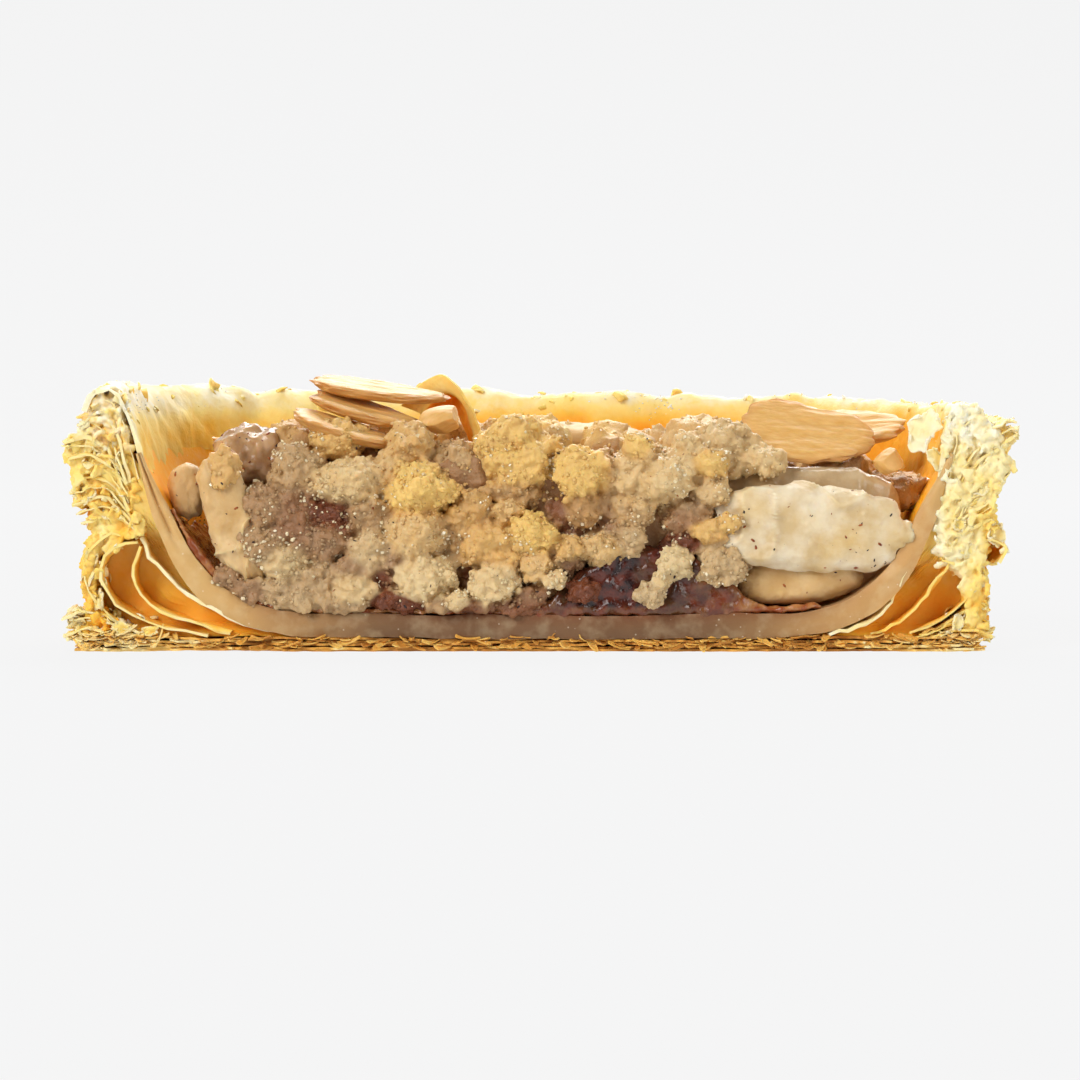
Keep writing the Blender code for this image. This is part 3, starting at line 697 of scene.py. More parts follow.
@dataclass(frozen=True)
class ButterCrumble(Finish):
    """Flour, butter and sugar rubbed together and baked: grainy, golden on top, pale inside.

    It gives the eye warm sandy grains, half clear at their edges, with spice and juice in places.
    """

    pale: str = "#DFC696"
    sandy: str = "#D6AB6A"
    golden: str = "#ECC674"
    spiced: str = "#80492C"
    deep: str = "#6A3A26"
    dot: str = "#6A3E28"
    relief_mm: float = 0.2

    def surface(self, tree: Tree, place: Socket) -> tuple:
        """The values toast and spice run from 0 to 1 over the heap."""
        mottle = grain(tree, place, 1.1, 3.0)
        uneven = worked_out(tree, "MULTIPLY_ADD", mottle, 0.5, -0.25)
        toast = worked_out(tree, "ADD", uneven, attribute(tree, "toast"), clamp=True)
        spice = attribute(tree, "spice")
        dots = specks(tree, place, 1.5, 0.1)
        body = painted(
            tree,
            mixed(tree, ramp(tree, toast, 0.0, 0.5), self.pale, self.sandy),
            (ramp(tree, toast, 0.5, 1.0), self.golden),
            (ramp(tree, spice, 0.0, 0.75), self.spiced),
            (ramp(tree, spice, 0.75, 1.2), self.deep),
            (ramp(tree, dots, 0.0, 1.0, 0.0, 0.55), self.dot),
        )
        wet = ramp(tree, spice, 0.2, 0.9, self.roughness, 0.3)
        return body, wet, grain(tree, place, 0.36, 4.0)


@dataclass(frozen=True)
class CookedJam(Finish):
    """Fruit boiled down with sugar: dark, nearly clear and wet.

    It gives the eye deep purple-brown with sharp highlights, redder where it is thin.
    """

    dark: str = "#240D0C"
    red: str = "#5E2719"
    rust: str = "#94491F"
    smear: str = "#B87F4A"
    relief_mm: float = 0.2

    def surface(self, tree: Tree, place: Socket) -> tuple:
        """The value thin is 0 in the pool and 1 where the jam is only a smear on the dough."""
        cloud = grain(tree, place, 1.6, 3.0)
        body = mixed(tree, ramp(tree, cloud, 0.42, 0.62), self.dark, self.red)
        thin = mixed(tree, ramp(tree, grain(tree, place, 1.0, 3.0), 0.4, 0.65), self.rust, self.smear)
        body = mixed(tree, attribute(tree, "thin"), body, thin)
        return body, self.roughness, grain(tree, place, 0.6, 3.0)


@dataclass(frozen=True)
class BakedApple(Finish):
    """Apple flesh softened by heat: moist and cloudy, with cinnamon on it.

    It gives the eye a pale half-clear body with faint veins and rust-coloured specks.
    """

    light: str = "#E9DABC"
    shade: str = "#D3B889"
    tint: str = "#DFBC76"
    speck: str = "#A8571F"
    speckled: float = 0.8

    def surface(self, tree: Tree, place: Socket) -> tuple:
        """Cloud patches of 3 mm under specks of 0.2 mm."""
        cloud = grain(tree, place, 3.0, 4.0)
        warm = grain(tree, place, 7.0, 1.0)
        dots = specks(tree, place, 1.9, 0.2)
        few = ramp(tree, grain(tree, place, 2.5, 1.0), 0.5, 0.56, 0.0, self.speckled)
        body = painted(
            tree,
            mixed(tree, ramp(tree, cloud, 0.35, 0.65), self.shade, self.light),
            (ramp(tree, warm, 0.5, 0.75, 0.0, 0.8), self.tint),
            (worked_out(tree, "MULTIPLY", dots, few), self.speck),
        )
        return body, self.roughness, grain(tree, place, 0.5, 4.0)


@dataclass(frozen=True)
class ToastedAlmond(Finish):
    """Blanched almond, shaved thin and toasted: satin, fibrous, browner along its edge.

    It gives the eye fine streaks along the nut and a cream middle.
    """

    cream: str = "#ECC27C"
    tan: str = "#D8A152"
    brown: str = "#B07238"
    relief_mm: float = 0.12

    def surface(self, tree: Tree, place: Socket) -> tuple:
        """The values along and across are millimetres on the flake; rim is 1 at its edge."""
        length = ramp(tree, attribute(tree, "along"), -10.0, 10.0, -3.0, 3.0)
        lay = add_node(tree, "ShaderNodeCombineXYZ", {"X": length, "Y": attribute(tree, "across")}).outputs[0]
        streaks = {"Scale": 2.2, "Detail": 4.0, "Vector": lay}
        fibre = add_node(tree, "ShaderNodeTexNoise", streaks).outputs["Fac"]
        body = mixed(tree, ramp(tree, fibre, 0.2, 0.8), self.tan, self.cream)
        blotch = grain(tree, place, 2.5, 2.0)
        rim = worked_out(tree, "MULTIPLY_ADD", blotch, 0.7, attribute(tree, "rim"))
        body = mixed(tree, ramp(tree, rim, 0.45, 1.35, 0.0, 0.6), body, self.brown)
        return body, self.roughness, fibre


@dataclass(frozen=True)
class PlainGrain(Finish):
    """Sugar or spice as it comes: one colour with a little spread, too small for more to show."""

    light: str = "#FDFBF7"
    dark: str = "#F1EBDD"
    relief_mm: float = 0.02

    def surface(self, tree: Tree, place: Socket) -> tuple:
        """Two close colours in patches of half a millimetre."""
        cloud = grain(tree, place, 0.5, 1.0)
        body = mixed(tree, ramp(tree, cloud, 0.4, 0.6), self.dark, self.light)
        return body, self.roughness, cloud


LEAF = BakedLeaf(
    "rolled_butter_pastry", "puff_pastry", glow=0.6, glow_radius=(1.0, 0.94, 0.8), glow_depth=0.3,
    specular=0.15,
)  # fmt: skip
MASS = BakedLeaf(
    "crushed_butter_pastry", "puff_pastry", glow=0.8, glow_radius=(1.0, 0.92, 0.76), glow_depth=0.45,
    specular=0.15,
)  # fmt: skip
SOLE = BakedLeaf(
    "crisp_bottom_pastry", "puff_pastry", glow=0.5, glow_radius=(1.0, 0.9, 0.7), glow_depth=0.3, specular=0.2,
    pale="#F8DFA0", lemon="#EFC068", golden="#DCA24A", amber="#BE8238", brown="#96622C",
)  # fmt: skip
DOUGH = DenseDough(
    "moist_bottom_dough", "puff_pastry", 0.42, glow_radius=(1.0, 0.86, 0.64), glow_depth=0.8, specular=0.2
)
CRUMBLE = ButterCrumble(
    "rubbed_butter_crumble", "butter_crumble", glow=0.6, glow_radius=(1.0, 0.82, 0.6), glow_depth=0.55,
    specular=0.4,
)  # fmt: skip
CRUMBS = ButterCrumble(
    "single_butter_crumbs", "butter_crumble", 0.42, glow=0.3, glow_radius=(1.0, 0.95, 0.85), glow_depth=0.1
)
JAM = CookedJam("boiled_dark_jam", "dark_jam", 0.2, glow=0.15, glow_radius=(1.0, 0.25, 0.15), coat=0.35)
APPLE = BakedApple("oven_soft_apple", "baked_apple", 0.42, 1.38, 0.6, (1.0, 0.85, 0.6))
WET_APPLE = BakedApple(
    "glassy_apple", "baked_apple", 0.22, 1.38, 0.6, (1.0, 0.85, 0.6), coat=0.4,
    light="#CDB48E", shade="#B4966C", tint="#C49F68", speckled=0.25,
)  # fmt: skip
SOFT_APPLE = BakedApple(
    "buttery_apple", "baked_apple", 0.46, 1.38, 0.6, (1.0, 0.8, 0.5), specular=0.2,
    light="#DDBE8C", shade="#CBA46C", tint="#D6AC70",
)  # fmt: skip
SPICED_APPLE = BakedApple(
    "cinnamon_apple", "spiced_apple", 0.24, 1.38, coat=0.4,
    light="#C29C72", shade="#9A7048", tint="#B0824F", speck="#2E1A1A", speckled=0.9,
)  # fmt: skip
ALMOND = ToastedAlmond("shaved_toasted_almond", "toasted_almond", 0.45, glow_depth=0.9)
ICING_SUGAR = PlainGrain("icing_sugar", "puff_pastry", 0.6, glow=0.0)
CRYSTAL_SUGAR = PlainGrain(
    "crystal_sugar", "butter_crumble", 0.14, 1.54, glow=0.0, light="#F3E6C6", dark="#E4D2A4"
)
DARK_SPICE = PlainGrain("ground_vanilla", "spiced_apple", 0.4, glow=0.0, light="#3A2420", dark="#1E1214")
RUST_SPICE = PlainGrain("ground_cinnamon", "spiced_apple", glow=0.0, light="#A85A26", dark="#7A3514")


def piece(
    name: str,
    soup: Soup,
    finish: Finish,
    nodes: tuple[str, ...] = (),
    crease: float | None = 50.0,
    mend: bool = True,
) -> None:
    """Args:
        name: plain name of the piece.
        soup: its closed bodies, in kitchen-frame mm.
        finish: what it is made of.
        nodes: the frame's nodes that it stands for.
        crease: angle in degrees past which an edge is sharp, or None for none.
        mend: whether its faces are turned outwards here.
    """
    mesh = mesh_of(name, Soup(PLAN.world(soup.points), soup.faces, soup.values))
    if mend:
        shape = bmesh.new()
        shape.from_mesh(mesh)
        bmesh.ops.recalc_face_normals(shape, faces=shape.faces)
        shape.to_mesh(mesh)
        shape.free()
    for key, value in soup.values.items():
        stored = mesh.attributes.new(key, "FLOAT", "POINT").data
        stored.foreach_set("value", np.ascontiguousarray(value, np.float32))
    mesh.shade_smooth()
    if crease is not None:
        mesh.set_sharp_from_angle(angle=math.radians(crease))
    mesh.materials.append(finish.material())
    made = bpy.data.objects.new(name, mesh)
    bpy.context.scene.collection.objects.link(made)
    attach(made, BODY)
    if nodes:
        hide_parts(*nodes)
    LOG.info("%s: %d triangles", name, len(soup.faces))


# ---- pastry ---------------------------------------------------------------------------------------
@dataclass(frozen=True)
class Leaf:
    """One leaf of the wall as two curves of (reach, height): at the left and right end of the cut."""

    left: tuple[tuple[float, float], ...]
    right: tuple[tuple[float, float], ...]
    thickness: float = 0.26
    ragged: float = 0.12
    bake: float = 0.3
    inside: bool = False


# Noise read at places times this runs about three times as long from front to back.
DRAWN_BACK = np.array([1.0, 0.35, 1.0])

# From the rim down to the foot, each from its root at the lining to its free edge.
WALL_LEAVES = (
    Leaf(
        ((44.9, 20), (45.9, 23.5), (46.9, 26.6), (48.6, 29.3), (50.4, 29.4), (51.9, 26.8)),
        ((44.6, 19.5), (45.0, 22.5), (45.6, 25), (46.8, 27.3), (48.4, 27.1), (49.6, 25.6)),
        0.5, 0.05, 0.22, True,
    ),
    Leaf(
        ((46.6, 19), (47.4, 22), (48.3, 25), (49.8, 26.9), (51.4, 26.2), (52.8, 24.9)),
        ((45.9, 19), (46.8, 21.5), (47.8, 23.6), (49.4, 25.0), (51.5, 25.6), (54.2, 26.2)),
        bake=0.25,
    ),
    Leaf(
        ((47.0, 19), (48.4, 21.8), (49.9, 23.4), (51.5, 24.1), (53.0, 24.2), (54.4, 23.4)),
        ((46.2, 17.5), (47.6, 20), (49.2, 21.6), (50.8, 22.8), (52.4, 24), (54.0, 25.0)),
        0.32, bake=0.35,
    ),
    Leaf(
        ((47.0, 17.6), (48.3, 20), (49.8, 21.6), (51.3, 22.3), (52.8, 22.0), (54.3, 21.2)),
        ((46.0, 16), (47.4, 18.2), (48.9, 19.8), (50.4, 20.9), (51.8, 21.8), (53.2, 22.6)),
        bake=0.4,
    ),
    Leaf(
        ((46.6, 16), (48, 18), (49.4, 19.4), (50.9, 19.8), (52.3, 19.4), (53.6, 18.8)),
        ((45.9, 14.6), (47.2, 16.4), (48.5, 17.6), (49.8, 18.6), (51.2, 19.6), (52.4, 20.4)),
        bake=0.4,
    ),
    Leaf(
        ((46.3, 14.2), (47.6, 16), (49, 17.2), (50.6, 17.4), (52.2, 16.9), (53.6, 16.3)),
        ((45.6, 13), (46.8, 14.6), (48, 15.6), (49.2, 16.4), (50.2, 17.2), (51.2, 17.8)),
        bake=0.35,
    ),
    Leaf(
        ((45.9, 12.6), (47.2, 14.2), (48.5, 15.1), (49.8, 15.1), (51, 14.8), (52.2, 14.2)),
        ((45.2, 11.6), (46.4, 12.8), (47.6, 13.6), (48.8, 14.2), (49.8, 14.6), (50.6, 14.7)),
        bake=0.4,
    ),
    Leaf(
        (
            (46.2, 13.0), (48.4, 13.4), (50.4, 12.6), (51.6, 10.6),
            (51.9, 8.2), (50.9, 5.8), (49.2, 3.9), (46.5, 2.3),
        ),
        (
            (44.6, 10.4), (46, 11.0), (47.4, 11.6), (48.8, 12.2),
            (50.2, 12.6), (51.4, 12.0), (51.5, 10.9), (50.6, 9.9),
        ),
        0.34, 0.05, 0.45,
    ),
    Leaf(
        (
            (45.9, 12.6), (48.0, 12.0), (49.7, 10.4), (49.9, 8.0),
            (48.6, 5.7), (45.6, 3.8), (42, 2.6), (38, 1.8),
        ),
        (
            (44.8, 10.2), (46.8, 9.8), (48.8, 9.6), (49.6, 8.6),
            (48.6, 6.8), (46.8, 5.0), (44.4, 3.2), (41, 1.9),
        ),
        0.3, 0.0, 0.5,
    ),
    Leaf(
        ((45.4, 12.0), (46.2, 9.8), (46.0, 7.6), (44.2, 5.4), (41.4, 3.8), (38.4, 2.8), (35.4, 2.2)),
        ((45.6, 9.9), (44.2, 8.2), (42.8, 6.4), (41.4, 4.8), (39.8, 3.5), (38.4, 2.6), (36.6, 2.0)),
        0.3, 0.0, 0.55,
    ),
    Leaf(
        ((45.3, 12.9), (44.5, 10.8), (42.6, 8.6), (40.2, 6.5), (37.2, 4.7), (33.8, 3.1), (29, 1.9)),
        ((40.4, 9.2), (39.6, 7.4), (38.9, 5.8), (37.8, 4.5), (36.4, 3.4), (34.6, 2.5), (32.2, 1.9)),
        0.42, 0.0, 0.2,
    ),
    Leaf(
        ((45.5, 2.0), (47.6, 3.0), (49.6, 4.0), (51.6, 4.4), (53.2, 4.0), (54.2, 3.2)),
        ((43.6, 2.2), (45.6, 3.4), (47.4, 4.6), (48.8, 5.2), (49.9, 4.8), (50.6, 3.8)),
        bake=0.4,
    ),
    Leaf(
        ((43.5, 1.5), (46, 1.8), (49, 2.4), (51.2, 2.7), (53.2, 2.3), (54.5, 1.6)),
        ((41, 1.5), (43.4, 1.8), (45.8, 2.3), (47.8, 2.6), (49.4, 2.3), (50.6, 1.7)),
        bake=0.5,
    ),
)  # fmt: skip


@dataclass(frozen=True)
class Flap:
    """A large torn leaf: middle, size along and across, turns about X, Y and Z, bake, sugar on it."""

    middle: tuple[float, float, float]
    size: tuple[float, float]
    turns: tuple[float, float, float]
    bake: float = 0.15
    sugar: float = 0.0


FLAPS = (
    Flap((51.0, 1.0, 24.1), (4.8, 3.6), (70, 22, 0), 0.2),
    Flap((48.4, 1.2, 24.6), (3.4, 3.0), (62, -10, 12), 0.12, 0.3),
    Flap((42.7, 2.0, 24.7), (4.2, 5.6), (66, 14, -18), 0.06, 0.5),
    Flap((44.0, 0.6, 21.6), (3.4, 3.0), (72, 34, 26), 0.16),
    Flap((46.4, 1.6, 25.4), (3.6, 3.4), (58, 0, 20), 0.1, 0.5),
    Flap((50.7, 1.0, 13.5), (2.6, 3.9), (76, 14, 24), 0.12),
    Flap((50.6, 0.8, 21.0), (3.2, 2.2), (66, 10, 10), 0.14),
    Flap((48.8, 0.3, 18.4), (2.6, 2.0), (70, -12, -6), 0.16),
    Flap((46.6, 0.1, 14.3), (2.0, 1.8), (84, 20, 0), 0.2),
    Flap((47.4, 0.2, 11.3), (2.6, 1.7), (80, -30, 10), 0.2),
    Flap((48.4, 0.4, 7.4), (3.2, 1.6), (70, -24, 8), 0.2),
    Flap((46.3, 0.1, 3.3), (1.7, 2.6), (76, 24, 30), 0.14),
    Flap((49.2, 0.8, 2.7), (2.8, 1.8), (60, -8, 10), 0.3),
    Flap((49.3, 1.0, 5.6), (1.8, 2.2), (70, 30, 20), 0.3),
    Flap((-50.4, 1.4, 21.8), (4.6, 2.6), (58, -14, -10), 0.3),
    Flap((-51.9, 1.0, 17.6), (3.4, 2.6), (64, 12, -18), 0.14),
    Flap((-48.0, 1.6, 27.6), (3.8, 3.2), (52, -24, -12), 0.16, 0.4),
    Flap((-48.9, 0.6, 15.6), (2.4, 1.8), (72, -18, -8), 0.16),
    Flap((-51.1, 1.0, 9.6), (1.9, 4.8), (80, 6, -34), 0.2),
    Flap((-50.3, 0.8, 5.8), (1.9, 2.8), (76, -12, -24), 0.2),
    Flap((-53.0, 1.6, 3.5), (2.2, 2.5), (66, -20, -10), 0.1),
    Flap((-51.3, 0.8, 2.3), (3.4, 1.8), (58, 8, -6), 0.28),
    Flap((-47.7, 0.2, 2.6), (2.6, 1.6), (68, 14, 4), 0.3),
    Flap((-44.6, 0.2, 2.2), (2.4, 1.2), (72, -10, 0), 0.3),
)


@dataclass(frozen=True)
class CrushedEnd:
    """One end of the wall: its side, where its mass starts behind the cut, and its edges.

    Each edge row is a height with the inner and the outer reach there.
    """

    name: str
    side: int
    front: float
    bits: int
    bake: float
    edges: tuple[tuple[float, float, float], ...]


@dataclass
class PastryCase:
    """The square case of puff pastry: flaky wall, moist lining and crisp sole."""

    around: int = 300
    along: int = 13
    lining: float = 2.7
    lining_top: float = 22.4
    heart_left: tuple[tuple[float, float], ...] = (
        (50.8, 1.4), (50.9, 4.0), (51.2, 7.5), (50.8, 10.5),
        (48.6, 13.5), (49.8, 17), (51.2, 20.5), (50.2, 24.4),
    )  # fmt: skip
    heart_right: tuple[tuple[float, float], ...] = (
        (47.6, 1.4), (48.2, 4.0), (48.0, 7.5), (47.6, 11),
        (48.0, 14.5), (49.6, 18), (50.6, 21.5), (48.6, 25.0),
    )  # fmt: skip
    end_voxel: float = 0.18
    end_depth: float = 2.3
    open_below: float = 9.5
    flap_thickness: float = 0.2
    sole_thickness: float = 0.26
    widest: float = 54.9
    sole_height: float = 1.66
    sole_leaves: int = 5
    sole_across: int = 300
    sole_half: float = 51.3
    sole_depth: float = 47.8
    sole_middle: float = -1.7
    bits_along: int = 170
    bits_right: int = 60
    bits_left: int = 60
    bits_mirror: float = -1.8
    shards: int = 4200
    dust: int = 1000
    ends: tuple[CrushedEnd, ...] = (
        CrushedEnd(
            "right", 1, 0.5, 2900, 0.1,
            (
                (2.0, 46.8, 49.6), (5.0, 47.6, 49.2), (8.5, 47.4, 49.4), (10.0, 45.6, 49.2),
                (11.5, 43.8, 49.6), (14.0, 43.8, 50.4), (16.0, 44.2, 50.0), (18.0, 44.6, 50.9),
                (20.0, 45.0, 51.9), (22.0, 45.2, 52.2), (24.0, 45.3, 51.6), (26.0, 45.6, 49.2),
                (27.4, 46.2, 48.6),
            ),
        ),
        CrushedEnd(
            "left", -1, 0.9, 2200, 0.34,
            (
                (1.6, 47.0, 52.6), (3.4, 49.0, 52.0), (5.0, 50.6, 51.0), (8.0, 51.2, 51.6),
                (11.0, 51.0, 51.6), (13.2, 45.2, 51.0), (15.0, 45.2, 51.2), (17.0, 45.6, 52.6),
                (19.0, 46.0, 53.0), (21.0, 46.4, 53.4), (23.0, 46.8, 53.6), (24.6, 47.2, 52.4),
                (27.0, 47.6, 51.0), (28.6, 48.4, 50.8),
            ),
        ),
    )  # fmt: skip
    rng: np.random.Generator = field(default_factory=lambda: np.random.default_rng(11))

    def turn_of(self, u: Array) -> Array:
        """Angle round the outline for u from 0 to 1, in steps that close up towards the cut."""
        t = 2 * np.asarray(u) - 1
        return math.pi * (0.5 + 0.5 * np.sign(t) * (1 - (1 - np.abs(t)) ** 1.25))

    def section(self, line: tuple, share: Array) -> Array:
        """Reach and height along a curve for each share of it."""
        return smooth_curve(line, share.ravel()).reshape(share.shape + (2,))

    def lining_thickness(self, height: Array) -> Array:
        """Full under the filling, less and less up the wall."""
        return self.lining * (1.0 - 0.2 * eased(height, 8.0, 15.0) - 0.56 * eased(height, 15.0, 22.0))

    def leaf(self, leaf: Leaf, seed: float) -> Soup:
        """One leaf carried round the outline.

        The section goes smoothly from the right curve to the left one; noise lifts and pushes it,
        more towards the free edge, and cuts that edge ragged.
        """
        angle = self.turn_of(np.linspace(0, 1, self.around))
        share = np.linspace(0.0, 1.0, self.along)
        leftward = ((1 - np.cos(angle)) / 2)[:, None]
        probe = np.stack([angle * 45.0, np.full_like(angle, seed * 31.0), np.zeros_like(angle)], -1)
        bite = 0.5 + 0.5 * noise_field(probe, 3.4, seed) + 0.35 * noise_field(probe, 0.9, seed + 5)
        bite += 0.9 * np.clip(noise_field(probe, 14.0, seed + 9), 0, 1)
        end = np.clip(1.0 - leaf.ragged * bite, 0.35, 1.0)
        v = end[:, None] * share[None, :]
        left, right = self.section(leaf.left, v), self.section(leaf.right, v)
        section = right + (left - right) * leftward[..., None]
        sure = PLAN.carry(section[..., 0], section[..., 1], angle[:, None])
        loose = 0.25 + 0.75 * share[None, :]
        mid_wall = np.sin(angle)[:, None]
        push = loose * (0.5 * noise_field(sure, 5.0, seed) + 0.16 * noise_field(sure, 1.3, seed + 1))
        billow = (0.4 + 0.4 * mid_wall) * noise_field(sure, 6.5, seed + 2)
        lift = loose * (billow + 0.2 * noise_field(sure, 1.6, seed + 3))
        crinkle = 0.13 + 0.16 * np.exp(-sure[..., 1] / 2.0)
        push = push + crinkle * noise_field(sure, 0.9, seed + 7)
        lift = lift + crinkle * noise_field(sure, 0.9, seed + 8)
        if leaf.inside:
            blister = 0.3 * noise_field(sure, 2.6, 44.0) + 0.16 * noise_field(sure, 1.1, 45.0)
            push, lift = push - blister * (share < 0.7), lift + blister * (share > 0.4)
        reach = np.minimum(section[..., 0] + push, self.widest)
        height = np.maximum(section[..., 1] + lift, 0.3)
        grid = PLAN.carry(reach, height, angle[:, None])
        at_cut = np.exp(-np.minimum(grid[..., 1], 40.0) / 0.5)
        torn = 0.12 + 0.5 * noise_field(grid, 0.8, seed + 4) + 0.5 * noise_field(grid, 3.0, seed + 6)
        grid[..., 1] += at_cut * torn
        uneven = leaf.thickness * (0.95 + 0.7 * noise_field(grid, 1.5, seed + 11))
        return thick_sheet(grid, uneven, self.leaf_values(leaf, grid, v, height))

    def leaf_values(self, leaf: Leaf, grid: Array, v: Array, height: Array) -> dict[str, Array]:
        """How baked and how sugared a leaf is: browner low down, painted amber deeper into the pockets and on
        the inner leaf below the rim as painted shade, white along the rim.

        Args:
            leaf: the leaf.
            grid: its points.
            v: 0 at its root to 1 at its free edge, at each point.
            height: above the table, at each point.

        Returns:
            The values bake and sugar.
        """
        # Painted shade: leaves turn amber deeper behind the cut and towards their roots, inside the pockets.
        pocket_shade = eased(grid[..., 1], 0.3, 7.0) * np.clip((1 - v) * 2.4, 0, 1)
        low = eased(-height, -14.0, -2.0)
        bake = leaf.bake - 0.16 * np.exp(-(1 - v) / 0.08) + 0.2 * pocket_shade + 0.1 * low
        bake = bake + 0.1 * eased(grid[..., 1], 8, 30)
        bake = bake * (0.5 + 0.5 * eased(grid[..., 1], 0.15, 0.8))
        bake = bake - 0.12 * low * eased(-grid[..., 0], 20.0, 44.0)
        if leaf.inside:
            # Painted shade: the inner leaf is painted amber below the rim, behind the cut and more so towards
            # the back, pale on the rim.
            deep = eased(-height, -28.4, -23.5) * eased(grid[..., 1], 0.2, 2)
            bake = 0.04 + (0.6 - 0.26 * eased(-grid[..., 0], 15, 35)) * deep
            bake += 0.12 * noise_field(grid * DRAWN_BACK, 3.0, 46.0) + 0.12 * eased(grid[..., 1], 10.0, 36.0)
        drifts = np.clip(0.2 + 1.5 * noise_field(grid * DRAWN_BACK, 2.2, 3.0), 0, 1)
        sugar = 0.68 * eased(height, 25.6, 28.2) * drifts * (1.0 - 0.45 * eased(grid[..., 1], 8.0, 30.0))
        return {"bake": np.minimum(bake, 0.7), "sugar": sugar}

    def all_leaves(self) -> list[Leaf]:
        """The named leaves and, between neighbours of like shape, a thinner one halfway."""
        made = []
        for one, two in zip(WALL_LEAVES, WALL_LEAVES[1:]):
            made.append(one)
            if len(one.left) == len(two.left) == 6:
                halfway = [
                    tuple(tuple((a + b) / 2 for a, b in zip(p, q)) for p, q in zip(x, y))
                    for x, y in ((one.left, two.left), (one.right, two.right))
                ]
                made.append(Leaf(halfway[0], halfway[1], 0.16, 0.3, (one.bake + two.bake) / 2))
        return made + [WALL_LEAVES[-1]]

    def wall(self, start: int) -> Soup:
        """Every other leaf of the wall from start, so that no piece has too many triangles."""
        leaves = list(enumerate(self.all_leaves()))[start::2]
        return Soup.joined([self.leaf(leaf, 3.0 + 1.7 * i) for i, leaf in leaves])

    def heart(self) -> Soup:
        """The close inner layers that the outer leaves grow from, set back from the cut.

        A strip between the lining and a line inside the leaves' edges, swept round the outline.  It
        starts a few millimetres behind the cut, more where the large pockets are.
        """

        def shape(u: Array, v: Array, w: Array) -> tuple[Array, dict]:
            """u runs round the outline, v up the wall and w from the lining outwards."""
            share = 0.2 + 0.72 * v
            _, level = PLAN.basin(share)
            inner_reach, inner_height = PLAN.basin(share, 0.15 - self.lining_thickness(level))
            inner_reach = inner_reach + 1.2 * eased(level, 15.0, self.lining_top)
            left, right = (self.section(line, v) for line in (self.heart_left, self.heart_right))
            outer = right + (left - right) * u[..., None]
            ease = w**0.8
            reach = inner_reach + (outer[..., 0] - inner_reach) * ease
            height = np.maximum(inner_height + (outer[..., 1] - inner_height) * ease, 1.2)
            back_left = 4.6 - 3.7 * eased(height, 11.5, 14.5) - 3.0 * eased(-height, -3.2, -2.0)
            back_right = 4.0 - 2.9 * eased(height, 8.5, 11.0) - 2.4 * eased(-height, -3.0, -1.8)
            first, last = np.arcsin(back_right / PLAN.depth), math.pi - np.arcsin(back_left / PLAN.depth)
            points = PLAN.carry(reach, height, first + (last - first) * u)
            points = points + 0.5 * noise_field(points, 2.2, 4.0)[..., None] * np.array([1.0, 1.0, 0.4])
            points[..., 2] = np.maximum(points[..., 2], 1.0)
            # Painted shade: the heart, the back of the pockets, is painted amber, more so low down.
            return points, {"bake": 0.6 - 0.3 * eased(height, 3.0, 15.0), "sugar": 0 * height}

        return block(shape, (200, 40, 14))

    def lining_solid(self) -> Soup:
        """The moist dough under the filling: the basin's surface and a thickness below it.

        It thins towards the rim and leans out to meet the first leaf.  Its cut face bulges by
        0.3 mm, and high on the left it is split into two strips.
        """
        full = ((self.lining_top - PLAN.floor) / (PLAN.inner_rim - PLAN.floor)) ** (1 / PLAN.steepness / 0.45)

        def shape(u: Array, v: Array, w: Array) -> tuple[Array, dict]:
            """u runs round the outline, v from the middle to the rim and w down through the dough."""
            share = full * v**1.4
            _, inner_height = PLAN.basin(share)
            thick = self.lining_thickness(inner_height)
            reach, height = PLAN.basin(share, -thick * w)
            reach = np.where(v == 0, 0.0, reach + 1.2 * eased(inner_height, 15.0, self.lining_top))
            points = PLAN.carry(reach, height, self.turn_of(u))
            points[..., 2] += 0.2 * noise_field(points, 4.0, 1.0) + 0.08 * noise_field(points, 1.2, 2.0)
            x = points[..., 0]
            aside = eased(x - 7.0, 8.0, 32.0) + eased(7.0 - x, 22.0, 48.0)
            milk = np.maximum(eased(-x, 30.0, 39.0), eased(inner_height, 14.5, 18.5))
            wet = 0.8 * np.exp(-(((x - 8.0) / 27.0) ** 4)) + 0.5 * eased(-x, 24.0, 32.0) * (1 - milk)
            wet = wet * np.exp(-(w * thick) / 0.9)
            # Painted shade: deep orange on the inner wall above the filling, behind the cut.
            inner_wall_shade = eased(points[..., 1], 0.4, 2.0) * eased(inner_height, 9.0, 13.0)
            uneven = 0.28 + 0.3 * noise_field(points, 2.0, 6.0) + 0.12 * noise_field(points, 0.6, 7.0)
            bulge = np.sin(math.pi * w) * uneven
            split = 0.7 * np.exp(-(((w - 0.45) / 0.13) ** 2)) * eased(inner_height, 11.0, 15.0) * (x < 0)
            points[..., 1] += np.where((u == 0) | (u == 1) | (v == 0), split - bulge, 0.0)
            return points, {"aside": aside, "milk": milk, "stain": np.clip(wet, 0, 1), "inner_wall_shade": inner_wall_shade}

        return block(shape, (280, 60, 14))

